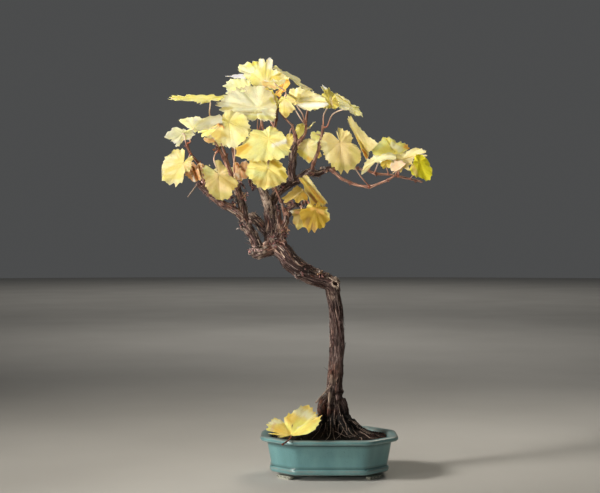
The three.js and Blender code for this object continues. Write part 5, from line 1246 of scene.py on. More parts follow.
        (406, 150.6), (402.6, 153), (397, 155), (391, 157), (380, 157)],
        "strokes": [(376, 147, 385, 142, 4.5, "lemon"), (386.4, 139, 394.6, 152, 1, "olive", -1.2),
        (392, 145, 400, 150, 3.4, "peach", 0.6), (406, 147, 408.6, 149, 2.6, "amber")]},
    "right_4": {"at": (377.4, 159.6, -30), "points": (-0.9, -0.2, -0.4), "faces": (-0.3, -0.6, 0.75),
        "size": 28, "stalk": ((374.2, 173.3, 19), (377, 166, -12)),
        "tints": ("cream", "khakiPale", 0.98),
        "edge": [(360.6, 173.6), (361.6, 169), (364.4, 164), (368, 160), (372, 157), (377, 154.8),
        (383, 153.4), (390, 153), (395, 153.4), (396.6, 156), (394, 159.6), (388, 160.6), (382.4, 161.8),
        (377, 163.2), (372, 166), (368, 169.6), (364.4, 172.4), (362, 174)],
        "strokes": [(363, 170, 374, 160.6, 1.4, "khaki"), (366, 165, 392, 155, 2.6, "cream")]},
    "right_5": {"at": (404.5, 159.6, -18), "points": (0.9, -0.25, 0.35), "faces": (-0.2, -0.65, 0.7),
        "size": 24, "stalk": ((398.1, 176.4, 17), (400.5, 167, -4)),
        "tints": ("khakiPale", "peach", 0.74),
        "edge": [(394.6, 158.8), (397.4, 155.2), (404.4, 152.8), (408, 151.6), (411.6, 150),
        (415, 148.8), (418.8, 147.8), (422.4, 148.6), (426.6, 151.6), (428.6, 157), (424, 155.4),
        (420.4, 154.4), (415.2, 157), (412.4, 161.8), (408.6, 166), (410.6, 171.4), (407, 170),
        (404.4, 169.6), (401, 173), (398, 169.6), (395.4, 164.4)],
        "strokes": [(404, 155, 422, 151, 3, "cream"), (399, 164, 407, 168, 4, "peach"),
        (401, 160, 413, 156, 1, "khaki", -0.8), (396, 160, 399, 168, 1, "tan", -0.5)]},
    "right_6": {"at": (418.5, 162.5, -44), "points": (0.2, -0.2, -0.95), "faces": (0.3, -0.9, 0.2),
        "size": 22, "stalk": ((410.5, 179.1, 15), (414.5, 173, -24), (417.4, 167.5, -40)), "pleat": 0.3,
        "tints": ("lime", "lime", 1),
        "edge": [(414.8, 155.8), (418, 153.9), (421.6, 154.2), (425, 158), (428.6, 160.4), (430.2, 164),
        (432.4, 171), (432.4, 175), (429.6, 179.6), (427, 181.4), (424, 178.6), (420, 177.6),
        (415, 177.2), (411.4, 173.6), (409.8, 169), (412, 164.6), (414.2, 160)],
        "strokes": [(420, 157, 429, 172, 6, "lime"), (413, 166, 416, 174, 2.6, "khaki"),
        (419, 158, 425, 176, 1.6, None, -0.4)]},
    "right_7": {"at": (386.4, 162, -11), "points": (0, 0.1, -1), "faces": (0, -1, 0), "size": 13,
        "stalk": ((388, 174.8, 18), (386.6, 168, 4)), "tints": ("honey", "gold", 1.5),
        "edge": [(379.6, 162), (384, 159.6), (390, 159.4), (393, 162), (392.4, 166), (389, 168.4),
        (386.4, 167), (383.4, 169.2), (381, 166)]},
    "middle_1": {"at": (306.8, 146, 21), "points": (0.15, -0.1, -0.97), "faces": (-0.1, -0.95, 0.2),
        "size": 20, "stalk": ((299.4, 145, 33), (303, 146, 27)), "tints": ("peach", "khakiPale", 1.08),
        "edge": [(309.5, 138.2), (304.4, 139.8), (300.6, 143), (297.8, 147), (297.2, 152), (299.6, 156),
        (303, 158.4), (306.4, 161.6), (309.8, 162.9), (313, 160), (317, 158), (319.6, 159.6),
        (321.6, 156.4), (320.5, 151.5), (319, 147), (317.5, 142), (313.2, 138.8)],
        "strokes": [(302, 144, 312, 141, 3.6, "peach"), (299.5, 152, 305, 156, 3, "butter"),
        (308, 158.6, 312, 160.6, 2.6, "honey"), (318.6, 152, 320, 158, 2, "honey")]},
    "middle_2": {"at": (301, 127.5, 18), "points": (0, 0, -1), "faces": (0, -1, 0), "size": 15,
        "stalk": ((304.6, 129, 38), (302.6, 128, 28)), "tints": ("butter", "lemon", 1.15),
        "edge": [(297.2, 124.4), (300, 123.8), (303, 123.4), (305, 126), (305, 131), (304.4, 135),
        (303, 139), (300.4, 140.6), (298, 139.4), (296.2, 135), (295.4, 129)]},
    "middle_3": {"at": (289.6, 137, 26), "points": (0, 0, -1), "faces": (-0.2, -1, 0), "size": 13,
        "stalk": ((293, 128, 7), (290, 131.5, 18)), "tints": ("butter", "khaki", 1.2),
        "edge": [(287, 134), (290, 133), (293, 134.6), (294.4, 139), (293.4, 144), (290, 147.4),
        (287, 145), (286, 139)]},
    "middle_4": {"at": (316, 134.5, 8), "points": (0.1, 0, -1), "faces": (0, -1, 0.2), "size": 9,
        "stalk": ((321.6, 136, -2), (318.4, 135, 4)), "ruffle": 0.4, "tints": ("lemon", "cream", 1.2)},
    "middle_5": {"at": (309.5, 126.6, -2), "points": (0.7, 0, 0.65), "faces": (-0.65, -0.12, 0.7),
        "size": 9, "stalk": ((306.2, 129, 5), (307.8, 128, 0)), "ruffle": 0.4,
        "tints": ("cream", "lemon", 1)},
    "front_1": {"at": (268.5, 139, -74), "points": (-0.88, -0.12, -0.42), "faces": (0.05, -0.85, 0.5),
        "size": 40, "stalk": ((270.5, 142, 5), (269, 141, -36)), "pleat": 0.35,
        "tints": ("greenish", "lemon", 0.64),
        "edge": [(250, 132.8), (254, 129.6), (259, 129.6), (263, 130.4), (267, 128), (271, 126.8),
        (275.3, 127.3), (279.3, 130.4), (282.5, 133), (284.6, 136.4), (286.8, 139), (287.2, 144),
        (290.4, 147.6), (290.2, 152), (287.6, 156), (283.4, 158.4), (280.4, 160.6), (275, 159),
        (270, 160), (263, 161), (256, 162), (249, 161), (243, 159), (237.2, 157), (235.3, 152),
        (235.4, 147.8), (239.5, 145.6), (243, 143.8), (247, 141), (249, 137.4)],
        "strokes": [(238, 151.5, 246.5, 147, 4.6, "gold"), (244, 153, 250, 148, 2.6, "butter"),
        (252, 134, 256, 137, 3, "lemon"), (274, 146, 285, 141, 2.6, "white", 0.8),
        # the white stroke from (274, 146) is a painted highlight
        (272, 153, 286, 154, 4, "greenish"), (268, 132, 280, 136, 4, "greenish"),
        (268, 141, 250, 155, 2.4, None, -0.4)]},
    "front_2": {"at": (268, 167.5, -84), "points": (-0.08, -0.3, -0.93), "faces": (0, -0.93, 0.35),
        "size": 25, "stalk": ((272, 181.5, -26), (270, 174, -56)), "pleat": 0.7,
        "tints": ("lemon", "sage", 0.68),
        "edge": [(267.8, 165.6), (266.8, 160.4), (264, 156.8), (258, 155.8), (252, 156.4), (249.4, 160),
        (248, 165), (245.7, 170), (246.2, 174.4), (249, 178.4), (252.4, 181.4), (255.4, 185),
        (259, 187.4), (263.5, 189.4), (268, 188.4), (273, 187.2), (278, 186.2), (281, 183), (286.6, 181),
        (287.6, 176.4), (286.2, 171.4), (283.4, 166.4), (281, 162), (276, 159.2), (271.5, 159.2),
        (269.8, 161.6), (268.4, 165.6)],
        "strokes": [(252, 160, 264, 160, 3.6, "butter"), (273, 162, 280, 166, 2.8, "ochre", -1),
        (277, 163, 279, 167, 1.6, "olive"), (281, 172, 286, 177, 2.6, "olive"),
        (250, 172, 262, 175, 3.6, "greenish"), (256, 183, 276, 184, 3, "khaki"),
        (267, 169, 250, 166, 1.8, None, -0.5), (268, 170, 260, 186, 1.8, None, -0.5),
        (269, 170, 276, 186, 1.8, None, -0.5), (269, 169, 286, 178, 1.8, None, -0.5)]},
    "low_1": {"at": (307.4, 183.4, 2), "points": (0.64, 0, -0.77), "faces": (0, -1, 0), "size": 29,
        "stalk": ((307.4, 202.6, -4), (304, 192, 6)), "fold": 69, "tints": ("honey", "khakiPale", 1.25),
        "edge": [(298.6, 177.4), (301.5, 177.8), (303.6, 175.6), (306.8, 175), (309.5, 178.2),
        (313.5, 183.5), (317.5, 189.5), (321.5, 195), (327, 201.4), (326.4, 204), (323.5, 206.4),
        (320.6, 206), (318.4, 202.6), (315.5, 204.4), (312.5, 205.4), (310, 203), (309.4, 198),
        (306.8, 194.4), (304.2, 190), (303.6, 185), (300.2, 181.4)],
        "strokes": [(311, 196, 317, 203, 6, "brown"), (308, 186, 321, 201, 1.6, "tan"),
        (303, 179, 307, 184, 3, "khaki")]},
    "low_2": {"at": (302, 191, -36), "points": (-0.9, -0.1, -0.4), "faces": (0.2, -0.9, 0.5), "size": 20,
        "stalk": ((304, 203.4, -4), (303.6, 197, -20)), "fold": 30, "tints": ("ochre", "khaki", 0.52),
        "edge": [(300.6, 187), (297.6, 185.6), (292, 189.4), (288, 192.4), (285, 196), (281.4, 197.5),
        (284.4, 199.6), (283, 202.6), (287, 203), (291, 200), (294, 199.4), (296, 202), (299, 203),
        (301, 200), (305, 201), (308, 199.4), (307.8, 196), (306, 193.4), (304, 190.4)],
        "strokes": [(303, 189.6, 291, 200, 0.9, "peach", 0.5), (303, 194, 306, 198, 2.4, "gold")]},
    "low_3": {"at": (316, 209.5, -26), "points": (-0.05, -0.2, -1), "faces": (0, -1, 0.15), "size": 25,
        "stalk": ((308, 202.3, -4), (312, 204.5, -15)), "pleat": 0.05, "tints": ("ochre", "ochre", 0.9),
        "edge": [(314, 204.4), (310.6, 202.9), (307.4, 204.8), (306, 208.4), (301, 209), (299.2, 214),
        (301, 219), (302.5, 224), (304, 226.4), (307, 230), (309, 232), (311.3, 229.6), (314.4, 232.8),
        (317.4, 229.2), (321, 228.6), (324.4, 227.8), (325.4, 223.2), (329, 221), (330.1, 217),
        (329.6, 214), (327.2, 211.4), (327.9, 208), (325.2, 206), (321.2, 206.6), (319.2, 202.4),
        (317.4, 201.7), (316.2, 205)],
        "strokes": [(303, 212, 306, 224, 4.6, "ochre"), (309, 221, 313, 231, 4.6, "bronze"),
        (312, 209, 322, 212, 2.6, "honey"), (308, 205.5, 311, 206, 1.8, "butter"),
        (327, 210, 329, 216, 1.6, "lemon"), (315, 211, 309, 228, 1.4, "ochre", -0.3),
        (316, 211, 322, 226, 1.6, None, -0.4), (317, 210, 328, 219, 1.6, None, -0.4)]},
    "low_4": {"at": (302.5, 212.5, -14), "points": (-0.3, 0, -0.93), "faces": (0, -1, 0.2), "size": 17,
        "stalk": ((300, 204, -5), (301, 208, -10)), "tints": ("ochre", "khaki", 0.48),
        "edge": [(303, 208.6), (298, 209), (294, 209.4), (290, 210.6), (291.4, 213.6), (293.5, 216),
        (292.2, 221), (294.3, 224.4), (296, 228), (298.4, 230), (301.5, 228.2), (306, 225), (307, 218),
        (306, 212)],
        "strokes": [(297, 226, 302, 226, 2, "lemon"), (290, 211, 292, 212, 1.6, "white"),
        (296, 212, 299, 213, 2, "tan")]},
    "back_1": {"at": (255, 100, 60), "points": (-0.3, 0.9, -0.1), "faces": (0, 0.3, 0.95), "size": 38,
        "stalk": ((257.6, 104, 46), (256.5, 102, 53))},
    "back_2": {"at": (262, 146, 62), "points": (0, 0.75, -0.6), "faces": (0.1, 0.7, 0.7), "size": 33,
        "stalk": ((266, 146, 40), (265, 144.5, 50))},
    "back_3": {"at": (229, 130, 62), "points": (-0.4, 0.75, -0.5), "faces": (-0.2, 0.7, 0.7), "size": 36,
        "stalk": ((231.5, 135, 38), (230.5, 132, 50))},
    "back_4": {"at": (222, 174, 34), "points": (-0.45, 0.6, -0.6), "faces": (-0.1, 0.8, 0.6), "size": 31,
        "stalk": ((236.6, 178, 13), (230, 176, 26)), "holes": [(214, 166, 6)]},
    "back_5": {"at": (268, 172, 52), "points": (-0.05, 0.7, -0.7), "faces": (0, 0.75, 0.65), "size": 30,
        "stalk": ((269.6, 169, 32), (269, 171, 42))},
    "back_6": {"at": (341, 150, 40), "points": (0.2, 0.75, -0.6), "faces": (0.1, 0.6, 0.75), "size": 30,
        "stalk": ((343, 167.4, 13), (343, 158, 26))},
    "back_7": {"at": (308, 99, 52), "points": (0.3, 0.9, -0.3), "faces": (0.1, 0.4, 0.9), "size": 32,
        "stalk": ((308.4, 105, 41), (308.2, 102, 46))},
    "back_8": {"at": (262, 88, 48), "points": (0.1, 0.95, 0.1), "faces": (0, -0.05, 1), "size": 28,
        "stalk": ((262.8, 83, 17), (262.4, 85, 32))},
    "back_9": {"at": (394, 154, 42), "points": (0.3, 0.85, -0.4), "faces": (0.2, 0.5, 0.8), "size": 27,
        "stalk": ((397, 176.2, 17), (395, 163, 30))},
    "dry_1": {"at": (195.8, 168.5, -39), "points": (-0.1, -0.1, -1), "faces": (0.2, -1, 0), "size": 16,
        "stalk": ((200.4, 165, -27), (198, 166, -34)), "roll": 40, "arch": 20, "crumple": 3.6,
        "tints": ("rust", "pink", 1.1),
        "strokes": [(193.5, 167, 199, 181, 1, "brown", -2.6), (191.5, 172, 196, 184, 1.2, "shell", 2.2),
        (197, 166, 201.5, 178, 1.2, "tan", 2), (199.5, 166, 202, 175, 0.8, "brown", -2.2),
        (190.5, 168, 193, 176, 0.8, "brown", -1.8)]},
    "dry_2": {"at": (211.4, 139.4, -14), "points": (-0.9, -0.3, 0.1), "faces": (0, -0.5, 0.85),
        "size": 10, "stalk": ((215.6, 143.4, -8), (213.2, 141, -12)), "roll": 50, "ruffle": 0.5,
        "crumple": 3, "tints": ("tan", "orange", 1)},
    "dry_3": {"at": (240.6, 168, -18), "points": (0.1, -0.1, -1), "faces": (-0.2, -1, 0), "size": 16,
        "stalk": ((236, 176, 3), (238.6, 171, -9)), "roll": 40, "arch": -20, "crumple": 3,
        "tints": ("pink", "rust", 1.15),
        "strokes": [(237, 164, 244, 170, 2, "brown", -1.6), (236, 174, 244, 181, 1.6, "shell", 2.2),
        (240, 170, 242, 182, 0.9, "tan", -2.2), (236.5, 168, 235, 178, 1.2, "pink", 2)]},
    "dry_4": {"at": (397, 169.5, -36), "points": (0.6, -0.2, 0.4), "faces": (-0.3, -0.8, 0.4),
        "size": 13, "stalk": ((396.4, 174.4, -17), (396.6, 171.5, -27)), "fold": 55, "ruffle": 0.5,
        "crumple": 2.5, "tints": ("shell", "pink", 1.1)},
    "fallen": {"at": (291, 434.9, -48), "points": (0.66, 0.45, 0.53), "faces": (-0.42, -0.6, 0.55),
        "size": 44, "stalk": ((282.4, 444.6, -70), (288.4, 440.2, -62)), "fold": 20, "loose": True,
        "crumple": 1.2, "pleat": 0.2, "tints": ("honey", "butter", 1.15),
        "edge": [(290.6, 435.4), (294, 435.8), (300, 434.4), (306, 432.6), (310, 431.6), (314, 429.6),
        (316.6, 427.4), (318, 425.4), (319.6, 423.4), (320.6, 420), (322, 418), (321.2, 416.3),
        (318.6, 416.6), (315.8, 417), (317, 413.4), (315, 412.2), (313.6, 410), (311.6, 407),
        (309, 404.5), (305, 405.4), (301, 407.4), (297, 410), (293, 412.4), (288.5, 413.8), (285, 416.4),
        (283.4, 419.6), (284.6, 421.9), (281, 419.4), (277, 418), (274, 418.3), (271.5, 421),
        (268.2, 423.4), (267, 425.4), (268.3, 428), (266, 429.7), (268, 432.4), (271.5, 433.4),
        (273, 436), (276.6, 437.6), (280.5, 437), (284, 434.8), (287.6, 434)],
        "strokes": [(271, 424, 282, 421, 3, "peach"), (275, 424, 272, 430, 1.4, "tan"),
        (285, 423, 296, 432, 2.4, "butter"), (298, 428, 304, 425, 1.6, "peach", 0.8),
        # the dark stroke from (312, 419.8), by the notch in the edge, is painted shade
        (300, 412, 309, 416, 6, "peach"), (312, 419.8, 314, 418.6, 0.7, "dark"),
        (292, 425.5, 292.6, 426.5, 0.7, "brown"), (290, 432, 284, 421, 1.8, None, -0.8),
        (291, 434, 318, 422, 2, None, -0.4), (291, 432, 306, 410, 2.4, None, -0.4),
        (287, 432, 272, 431, 2, None, -0.4)]},
}

tints = {
    "cream": "#f3e9b4", "lemon": "#f0e18c", "butter": "#ecd674", "greenish": "#e6e6a0", "lime": "#d3c92f",
    "khaki": "#cdb76c", "gold": "#d3a941", "amber": "#c88a3a", "brown": "#8a5c30", "tan": "#dcae7c",
    "pink": "#e2b592", "dark": "#5a3a22", "white": "#fcf8e4", "orange": "#cf8538", "olive": "#b3a03a",
    "khakiPale": "#e6d596", "lemonPale": "#f3eb98", "peach": "#f2dba2", "sage": "#d2c57c",
    "ochre": "#b39535", "honey": "#e2b45e", "dun": "#ddca8c", "bronze": "#846625", "shell": "#efd0b4",
    "rust": "#c98a5e",
}
spareTints = [("lemon", "khaki", 0.8), ("cream", "lemon", 0.8), ("butter", "khaki", 0.8),
              ("greenish", "lemon", 0.8)]

# The half outline of a leaf that isn't traced, and the seven main ribs: 0 is the way of the tip.
lobeAngles = np.array([0, 27, 54, 82, 108, 135, 155, 170, 180.0])
lobeReach = np.array([0.97, 0.9, 0.86, 0.75, 0.72, 0.62, 0.5, 0.3, 0.07])
ribAngles = np.radians([0, 54, 108, 150, 210, 252, 306])

leafLook = {
    "columns": 216, "rings": 12, "smallColumns": 144, "smallRings": 8, "small": 21,
    "thickness": 0.42, "ribLift": 0.4, "ribWidth": 0.8,
    "tooth": 0.05, "smallTooth": 0.02, "toothSpacing": 0.42,
    "pleat": 0.28, "pleatWidth": 6, "crumple": 0.9, "crumpleWidth": 7, "ruffle": 1.2,
    "sideVeins": 0.15,  # apart, as a share of the leaf
    "drift": 14,  # from one tint to the other and back, in mm
    "rust": 0.3, "dryEdge": 0.35, "paleUnder": 0.3,
    "stalkRadius": 0.8, "stalkSides": 9, "stalkStep": 2.2,
}
stalkTints = {"foot": "#c27a63", "tip": "#f0d6c0", "looseFoot": "#6e3527", "looseTip": "#8c4a38"}


def traced(leaf, spots):  # where spots of the picture lie on the blade: across it and along it
    near = seen([(*spot, 0) for spot in spots])
    ray = seen([(*spot, -200) for spot in spots]) - near
    fold = math.radians(leaf.get("fold", 0))
    found = []
    for side in (1, -1):
        reach = leaf["across"] * side * math.cos(fold) + leaf["up"] * math.sin(fold)
        normal = np.cross(leaf["along"], reach)
        place = near + ray * (((leaf["middle"] - near) @ normal) / (ray @ normal))[:, None] - leaf["middle"]
        found.append((place @ reach, place @ leaf["along"]))
    right = found[0][0] >= 0
    return np.stack([np.where(right, found[0][0], -found[1][0]),
                     np.where(right, found[0][1], found[1][1])], axis=-1)


def strokeShare(leaf, flat, stroke):  # 1 on a line drawn over the blade, 0 away from it
    start, end = traced(leaf, [stroke[:2], stroke[2:4]])
    run = end - start
    share = np.clip(((flat - start) @ run) / max(run @ run, 1e-9), 0, 1)
    off = np.linalg.norm(flat - start - share[..., None] * run, axis=-1)
    return np.exp(-(off / (stroke[4] * 1.2)) ** 2)


def edgeShare(leaf, degrees):  # how far the edge is, as a share of the way to the tip
    if "edge" in leaf:
        corners = traced(leaf, leaf["edge"]) / leaf["size"]
        part = np.linspace(0, 1, 8, endpoint=False)[:, None, None]
        spots = (corners * (1 - part) + np.roll(corners, -1, axis=0) * part).reshape(-1, 2)
        return np.interp(degrees, np.degrees(np.arctan2(spots[:, 0], spots[:, 1])) % 360,
                         np.linalg.norm(spots, axis=1), period=360)
    side = (degrees > 180).astype(int)
    turn = np.where(side == 1, 360 - degrees, degrees)
    last = len(lobeAngles) - 1
    key = np.minimum(np.searchsorted(lobeAngles[1:], turn, side="left"), last - 1)

    def reachAt(at):
        drawn = draw(leaf["seed"], np.where(at > 0, at + side * 20, 0))
        return lobeReach[at] * np.where(at == last, 1, 0.94 + 0.12 * drawn)

    share = smoothStep((turn - lobeAngles[key]) / (lobeAngles[key + 1] - lobeAngles[key]))
    return reachAt(key) * (1 - share) + reachAt(key + 1) * share


def toothShare(leaf, degrees):  # sharp teeth, large and small by turns, none in the sinus at the stalk
    teeth = max(12, round(leaf["size"] * leafLook["toothSpacing"]) * 2)
    warped = degrees + 3.5 * np.sin(np.radians(degrees * 4 + leaf["seed"] * 50))
    phase = warped * teeth / 360 + 0.5
    number = np.floor(phase) % teeth
    part = np.abs(phase - np.floor(phase) - 0.5) * 2
    strength = 0.45 + 0.9 * draw(leaf["seed"], 40 + number) + 0.35 * (number % 2)
    small = phase * 2 + 0.5
    smallPart = np.abs(small - np.floor(small) - 0.5) * 2
    away = np.minimum(1, np.abs(180 - degrees) / 25)
    wave = leafLook["tooth"] * strength * (0.75 - 1.6 * part ** 0.8)
    return 1 + away * (wave + leafLook["smallTooth"] * (0.5 - smallPart))


def nearestRib(flat):  # how far along its nearest rib a place is, and how far from it
    ribs = np.stack([np.sin(ribAngles), np.cos(ribAngles)])
    along = flat @ ribs
    across = np.abs(flat[..., :1] * ribs[1] - flat[..., 1:] * ribs[0])
    nearest = np.argmin(np.where(along >= -1e-6, across, 1e6), axis=-1)[..., None]
    return (np.take_along_axis(values, nearest, -1)[..., 0] for values in (along, across))


def leafSheet(leaf, degrees, share):  # the blade's middle sheet, and its flat form for the veins
    turn = np.radians(degrees)
    tooth = 1 + (toothShare(leaf, degrees) - 1) * share ** 3
    reach = leaf["size"] * edgeShare(leaf, degrees) * tooth * share
    flat = np.stack([np.sin(turn) * reach, np.cos(turn) * reach], axis=-1)
    x, y = flat[..., 0], flat[..., 1]
    along, across = nearestRib(flat)
    half = np.abs(x)
    fold = math.radians(leaf.get("fold", 0))
    roll = math.radians(leaf.get("roll", 0)) / (leaf["size"] * 0.64)
    arch = math.radians(leaf.get("arch", 0)) / leaf["size"]
    if roll:
        lean = fold - roll * half
        out, lift = (math.sin(fold) - np.sin(lean)) / roll, (np.cos(lean) - math.cos(fold)) / roll
    else:
        out, lift = half * math.cos(fold), half * math.sin(fold)
    ruffle = leaf.get("ruffle", leafLook["ruffle"])
    lift = lift + ruffle * share ** 2 * np.sin(5 * turn + 6 * leaf["seed"])
    lift = lift + 0.5 * ruffle * share ** 4 * np.sin(13 * turn + 4.1 * leaf["seed"])
    pleat = leaf.get("pleat", leafLook["pleat"]) * min(1, leaf["size"] / 30)
    lift = lift + pleat * (1 - np.exp(-across / leafLook["pleatWidth"] * 2)) * (1 - 0.5 * share)
    width = leafLook["crumpleWidth"]
    spots = np.stack([x / width, y / width, np.full(reach.shape, leaf["seed"] * 5.3)], axis=-1)
    swell = cloud(spots.reshape(-1, 3), 57).reshape(reach.shape) - 0.5
    lift = lift + leaf.get("crumple", leafLook["crumple"]) * 2 * swell * share
    for stroke in leaf.get("strokes", ()):
        if len(stroke) > 6:
            lift = lift + stroke[6] * strokeShare(leaf, flat, stroke)
    bend = arch * y
    forth = np.sin(bend) / arch if arch else y
    drop = (1 - np.cos(bend)) / arch if arch else 0
    place = leaf["middle"] + np.sign(x)[..., None] * out[..., None] * leaf["across"]
    place = place + (forth + lift * np.sin(bend))[..., None] * leaf["along"]
    place = place + (lift * np.cos(bend) - drop)[..., None] * leaf["up"]
    return place, flat, along, across


def tintSheet(leaf, flat, share, under):
    main, second, light = leaf["tints"]
    spots = np.column_stack([flat / leafLook["drift"], np.full(len(flat), leaf["seed"] * 3.7)])
    painted = blend(leafTones[main], leafTones[second], smoothStep(cloud(spots, 51) * 2.2 - 0.6))
    ragged = cloud(np.column_stack([flat / 3, np.full(len(flat), 2.0)]), 55)
    for stroke in leaf.get("strokes", ()):
        if stroke[5]:
            near = strokeShare(leaf, flat, stroke) * 1.5 + (ragged - 0.5) * 0.5 - 0.25
            painted = blend(painted, leafTones[stroke[5]], smoothStep(near))
    rusty = cloud(np.column_stack([flat / 2.2, np.full(len(flat), leaf["seed"])]), 53)
    painted = blend(painted, leafTones["amber"], smoothStep((rusty - 0.76) * 9) * leafLook["rust"] * share)
    edge = smoothStep((share - 0.93) * 16) * smoothStep(cloud(spots * 3, 54) * 2 - 0.7)
    painted = blend(painted, leafTones["tan"], edge * leafLook["dryEdge"])
    if under:
        painted = blend(painted, leafTones["white"], np.full(len(flat), leafLook["paleUnder"]))
    painted[:, :3] *= light ** np.array([0.95, 1, 1.15])  # painted light and shade on the whole blade; a darker blade is also a warmer one
    painted[:, 3] = 1
    return np.minimum(painted, 1)


def bladeFaces(rings, columns, gone):  # both sides of the blade, closed at its edge and round its holes
    count = rings * columns
    faces = []
    for j in range(rings - 1):
        for i in range(columns):
            if gone[j, i]:
                continue
            k = (i + 1) % columns
            a, b, c, d = j * columns + i, j * columns + k, (j + 1) * columns + k, (j + 1) * columns + i
            faces.append((a, b, c, d))
            faces.append((a + count, d + count, c + count, b + count))
            for first, second, ring, column in ((b, a, j - 1, i), (c, b, j, k), (d, c, j + 1, i),
                                                (a, d, j, i - 1)):
                if ring == rings - 1 or (ring >= 0 and gone[ring, column]):
                    faces.append((first, second, second + count, first + count))
    for i in range(columns):
        k = (i + 1) % columns
        faces.append((2 * count, k, i))
        faces.append((2 * count + 1, i + count, k + count))
    return faces


def makeLeaf(name, row, seed):
    leaf = dict({"tints": spareTints[seed % len(spareTints)]}, **row, seed=seed, middle=seen(row["at"]),
                along=unit(np.array(row["points"], float)))
    up = np.array(leaf["faces"], float)
    leaf["up"] = unit(up - leaf["along"] * (up @ leaf["along"]))
    leaf["across"] = np.cross(leaf["along"], leaf["up"])
    small = leaf["size"] < leafLook["small"]
    columns = leafLook["smallColumns" if small else "columns"]
    rings = leafLook["smallRings" if small else "rings"]
    shares = (np.arange(1, rings + 1) / rings) ** 0.88
    degrees = np.arange(columns) * 360 / columns
    grid, flat, along, across = leafSheet(leaf, degrees[None, :], shares[:, None])
    inner = np.concatenate([np.repeat(leaf["middle"][None, None], columns, axis=1), grid[:-1]])
    outer = np.concatenate([grid[1:], (2 * grid[-1] - grid[-2])[None]])
    turned = np.roll(grid, -1, axis=1) - np.roll(grid, 1, axis=1)
    normal = unit(np.cross(turned, outer - inner))
    if (normal @ leaf["up"]).mean() < 0:
        normal = -normal
    thick = leafLook["thickness"] * (1 - 0.45 * shares[:, None] ** 4)
    fold = math.radians(leaf.get("fold", 0))
    spine = np.where(np.abs(np.sin(np.radians(degrees))) < 1e-6, min(2.0, 1 / math.cos(fold)), 1.0)[None]
    half = (thick * spine / 2)[..., None]
    ribs = leafLook["ribLift"] * np.exp(-(across / leafLook["ribWidth"]) ** 2) * (1 - 0.6 * shares[:, None])
    top = grid + normal * half
    bottom = grid - normal * (half + ribs[..., None])
    middle = leaf["middle"] + np.outer((0.2, -0.6), leaf["up"])
    gone = np.zeros((rings - 1, columns), bool)
    for *spot, wide in leaf.get("holes", ()):
        ragged = cloud(np.column_stack([flat[:-1].reshape(-1, 2), np.zeros(gone.size)]), 61)
        off = np.linalg.norm(flat[:-1] - traced(leaf, [spot])[0], axis=-1)
        gone |= off < (wide * (0.7 + 0.6 * ragged)).reshape(gone.shape)
    veins = np.stack([(along - 0.85 * across) / (leafLook["sideVeins"] * leaf["size"]), across,
                      np.repeat(shares[:, None], columns, axis=1)], axis=-1).reshape(-1, 3)
    upper, under = (tintSheet(leaf, flat.reshape(-1, 2), np.repeat(shares, columns), below)
                    for below in (False, True))
    shell = Shell()
    shell.add(np.vstack([top.reshape(-1, 3), bottom.reshape(-1, 3), middle]),
              bladeFaces(rings, columns, gone), 0, tint=np.vstack([upper, under, upper[:1], under[:1]]),
              veins=np.vstack([veins, veins, np.zeros((2, 3))]))
    addStalk(shell, leaf)
    piece = shell.piece("vineLeaf_" + name, [leafMaterial, stalkMaterial], 55)
    finish(piece, "dry_leaf" if name.startswith("dry") else "leaf", "leaf_" + name)


def addStalk(shell, leaf):  # from its foot on the cane, through its own points, into the blade
    points = seen(leaf["stalk"])
    if not leaf.get("loose"):
        wood = placeOnWood(points[:1])
        centre, radius, onward = wood["centre"][0], wood["radius"][0], wood["onward"][0]
        aim = points[1] - centre
        off = unit(aim - onward * (aim @ onward))
        points = np.vstack([centre + off * (radius * 0.6), centre + off * (radius + 2.8), points[1:]])
    points = np.vstack([points, leaf["middle"] - leaf["up"] * 2.2 - leaf["along"] * 1.2,
                        leaf["middle"] - leaf["up"] * 0.1 + leaf["along"] * 0.6])
    centres, _, marks = smoothWay(points, leafLook["stalkStep"])
    slim = leafLook["stalkRadius"] * (0.75 + 0.25 * min(1, leaf["size"] / 30))
    radii = slim * (1 + 0.75 * np.exp(-(marks / 1.8) ** 2) + 0.3 * np.exp(-((marks[-1] - marks) / 2) ** 2))
    radii[-1] *= 0.6
    sides = leafLook["stalkSides"]
    points, faces = tube(centres, radii, sides)
    tone = tones(stalkTints)
    foot, tip = (tone[key] for key in (("looseFoot", "looseTip") if leaf.get("loose") else ("foot", "tip")))
    share = np.append(np.repeat(smoothStep(marks / marks[-1] * 1.6), sides), (0, 1))
    shell.add(points, faces, 1, tint=blend(foot, tip, share), veins=np.zeros((len(points), 3)))


leafTones = tones(tints)
for seed, (name, row) in enumerate(leaves.items()):
    makeLeaf(name, row, seed)
print("leaves made")
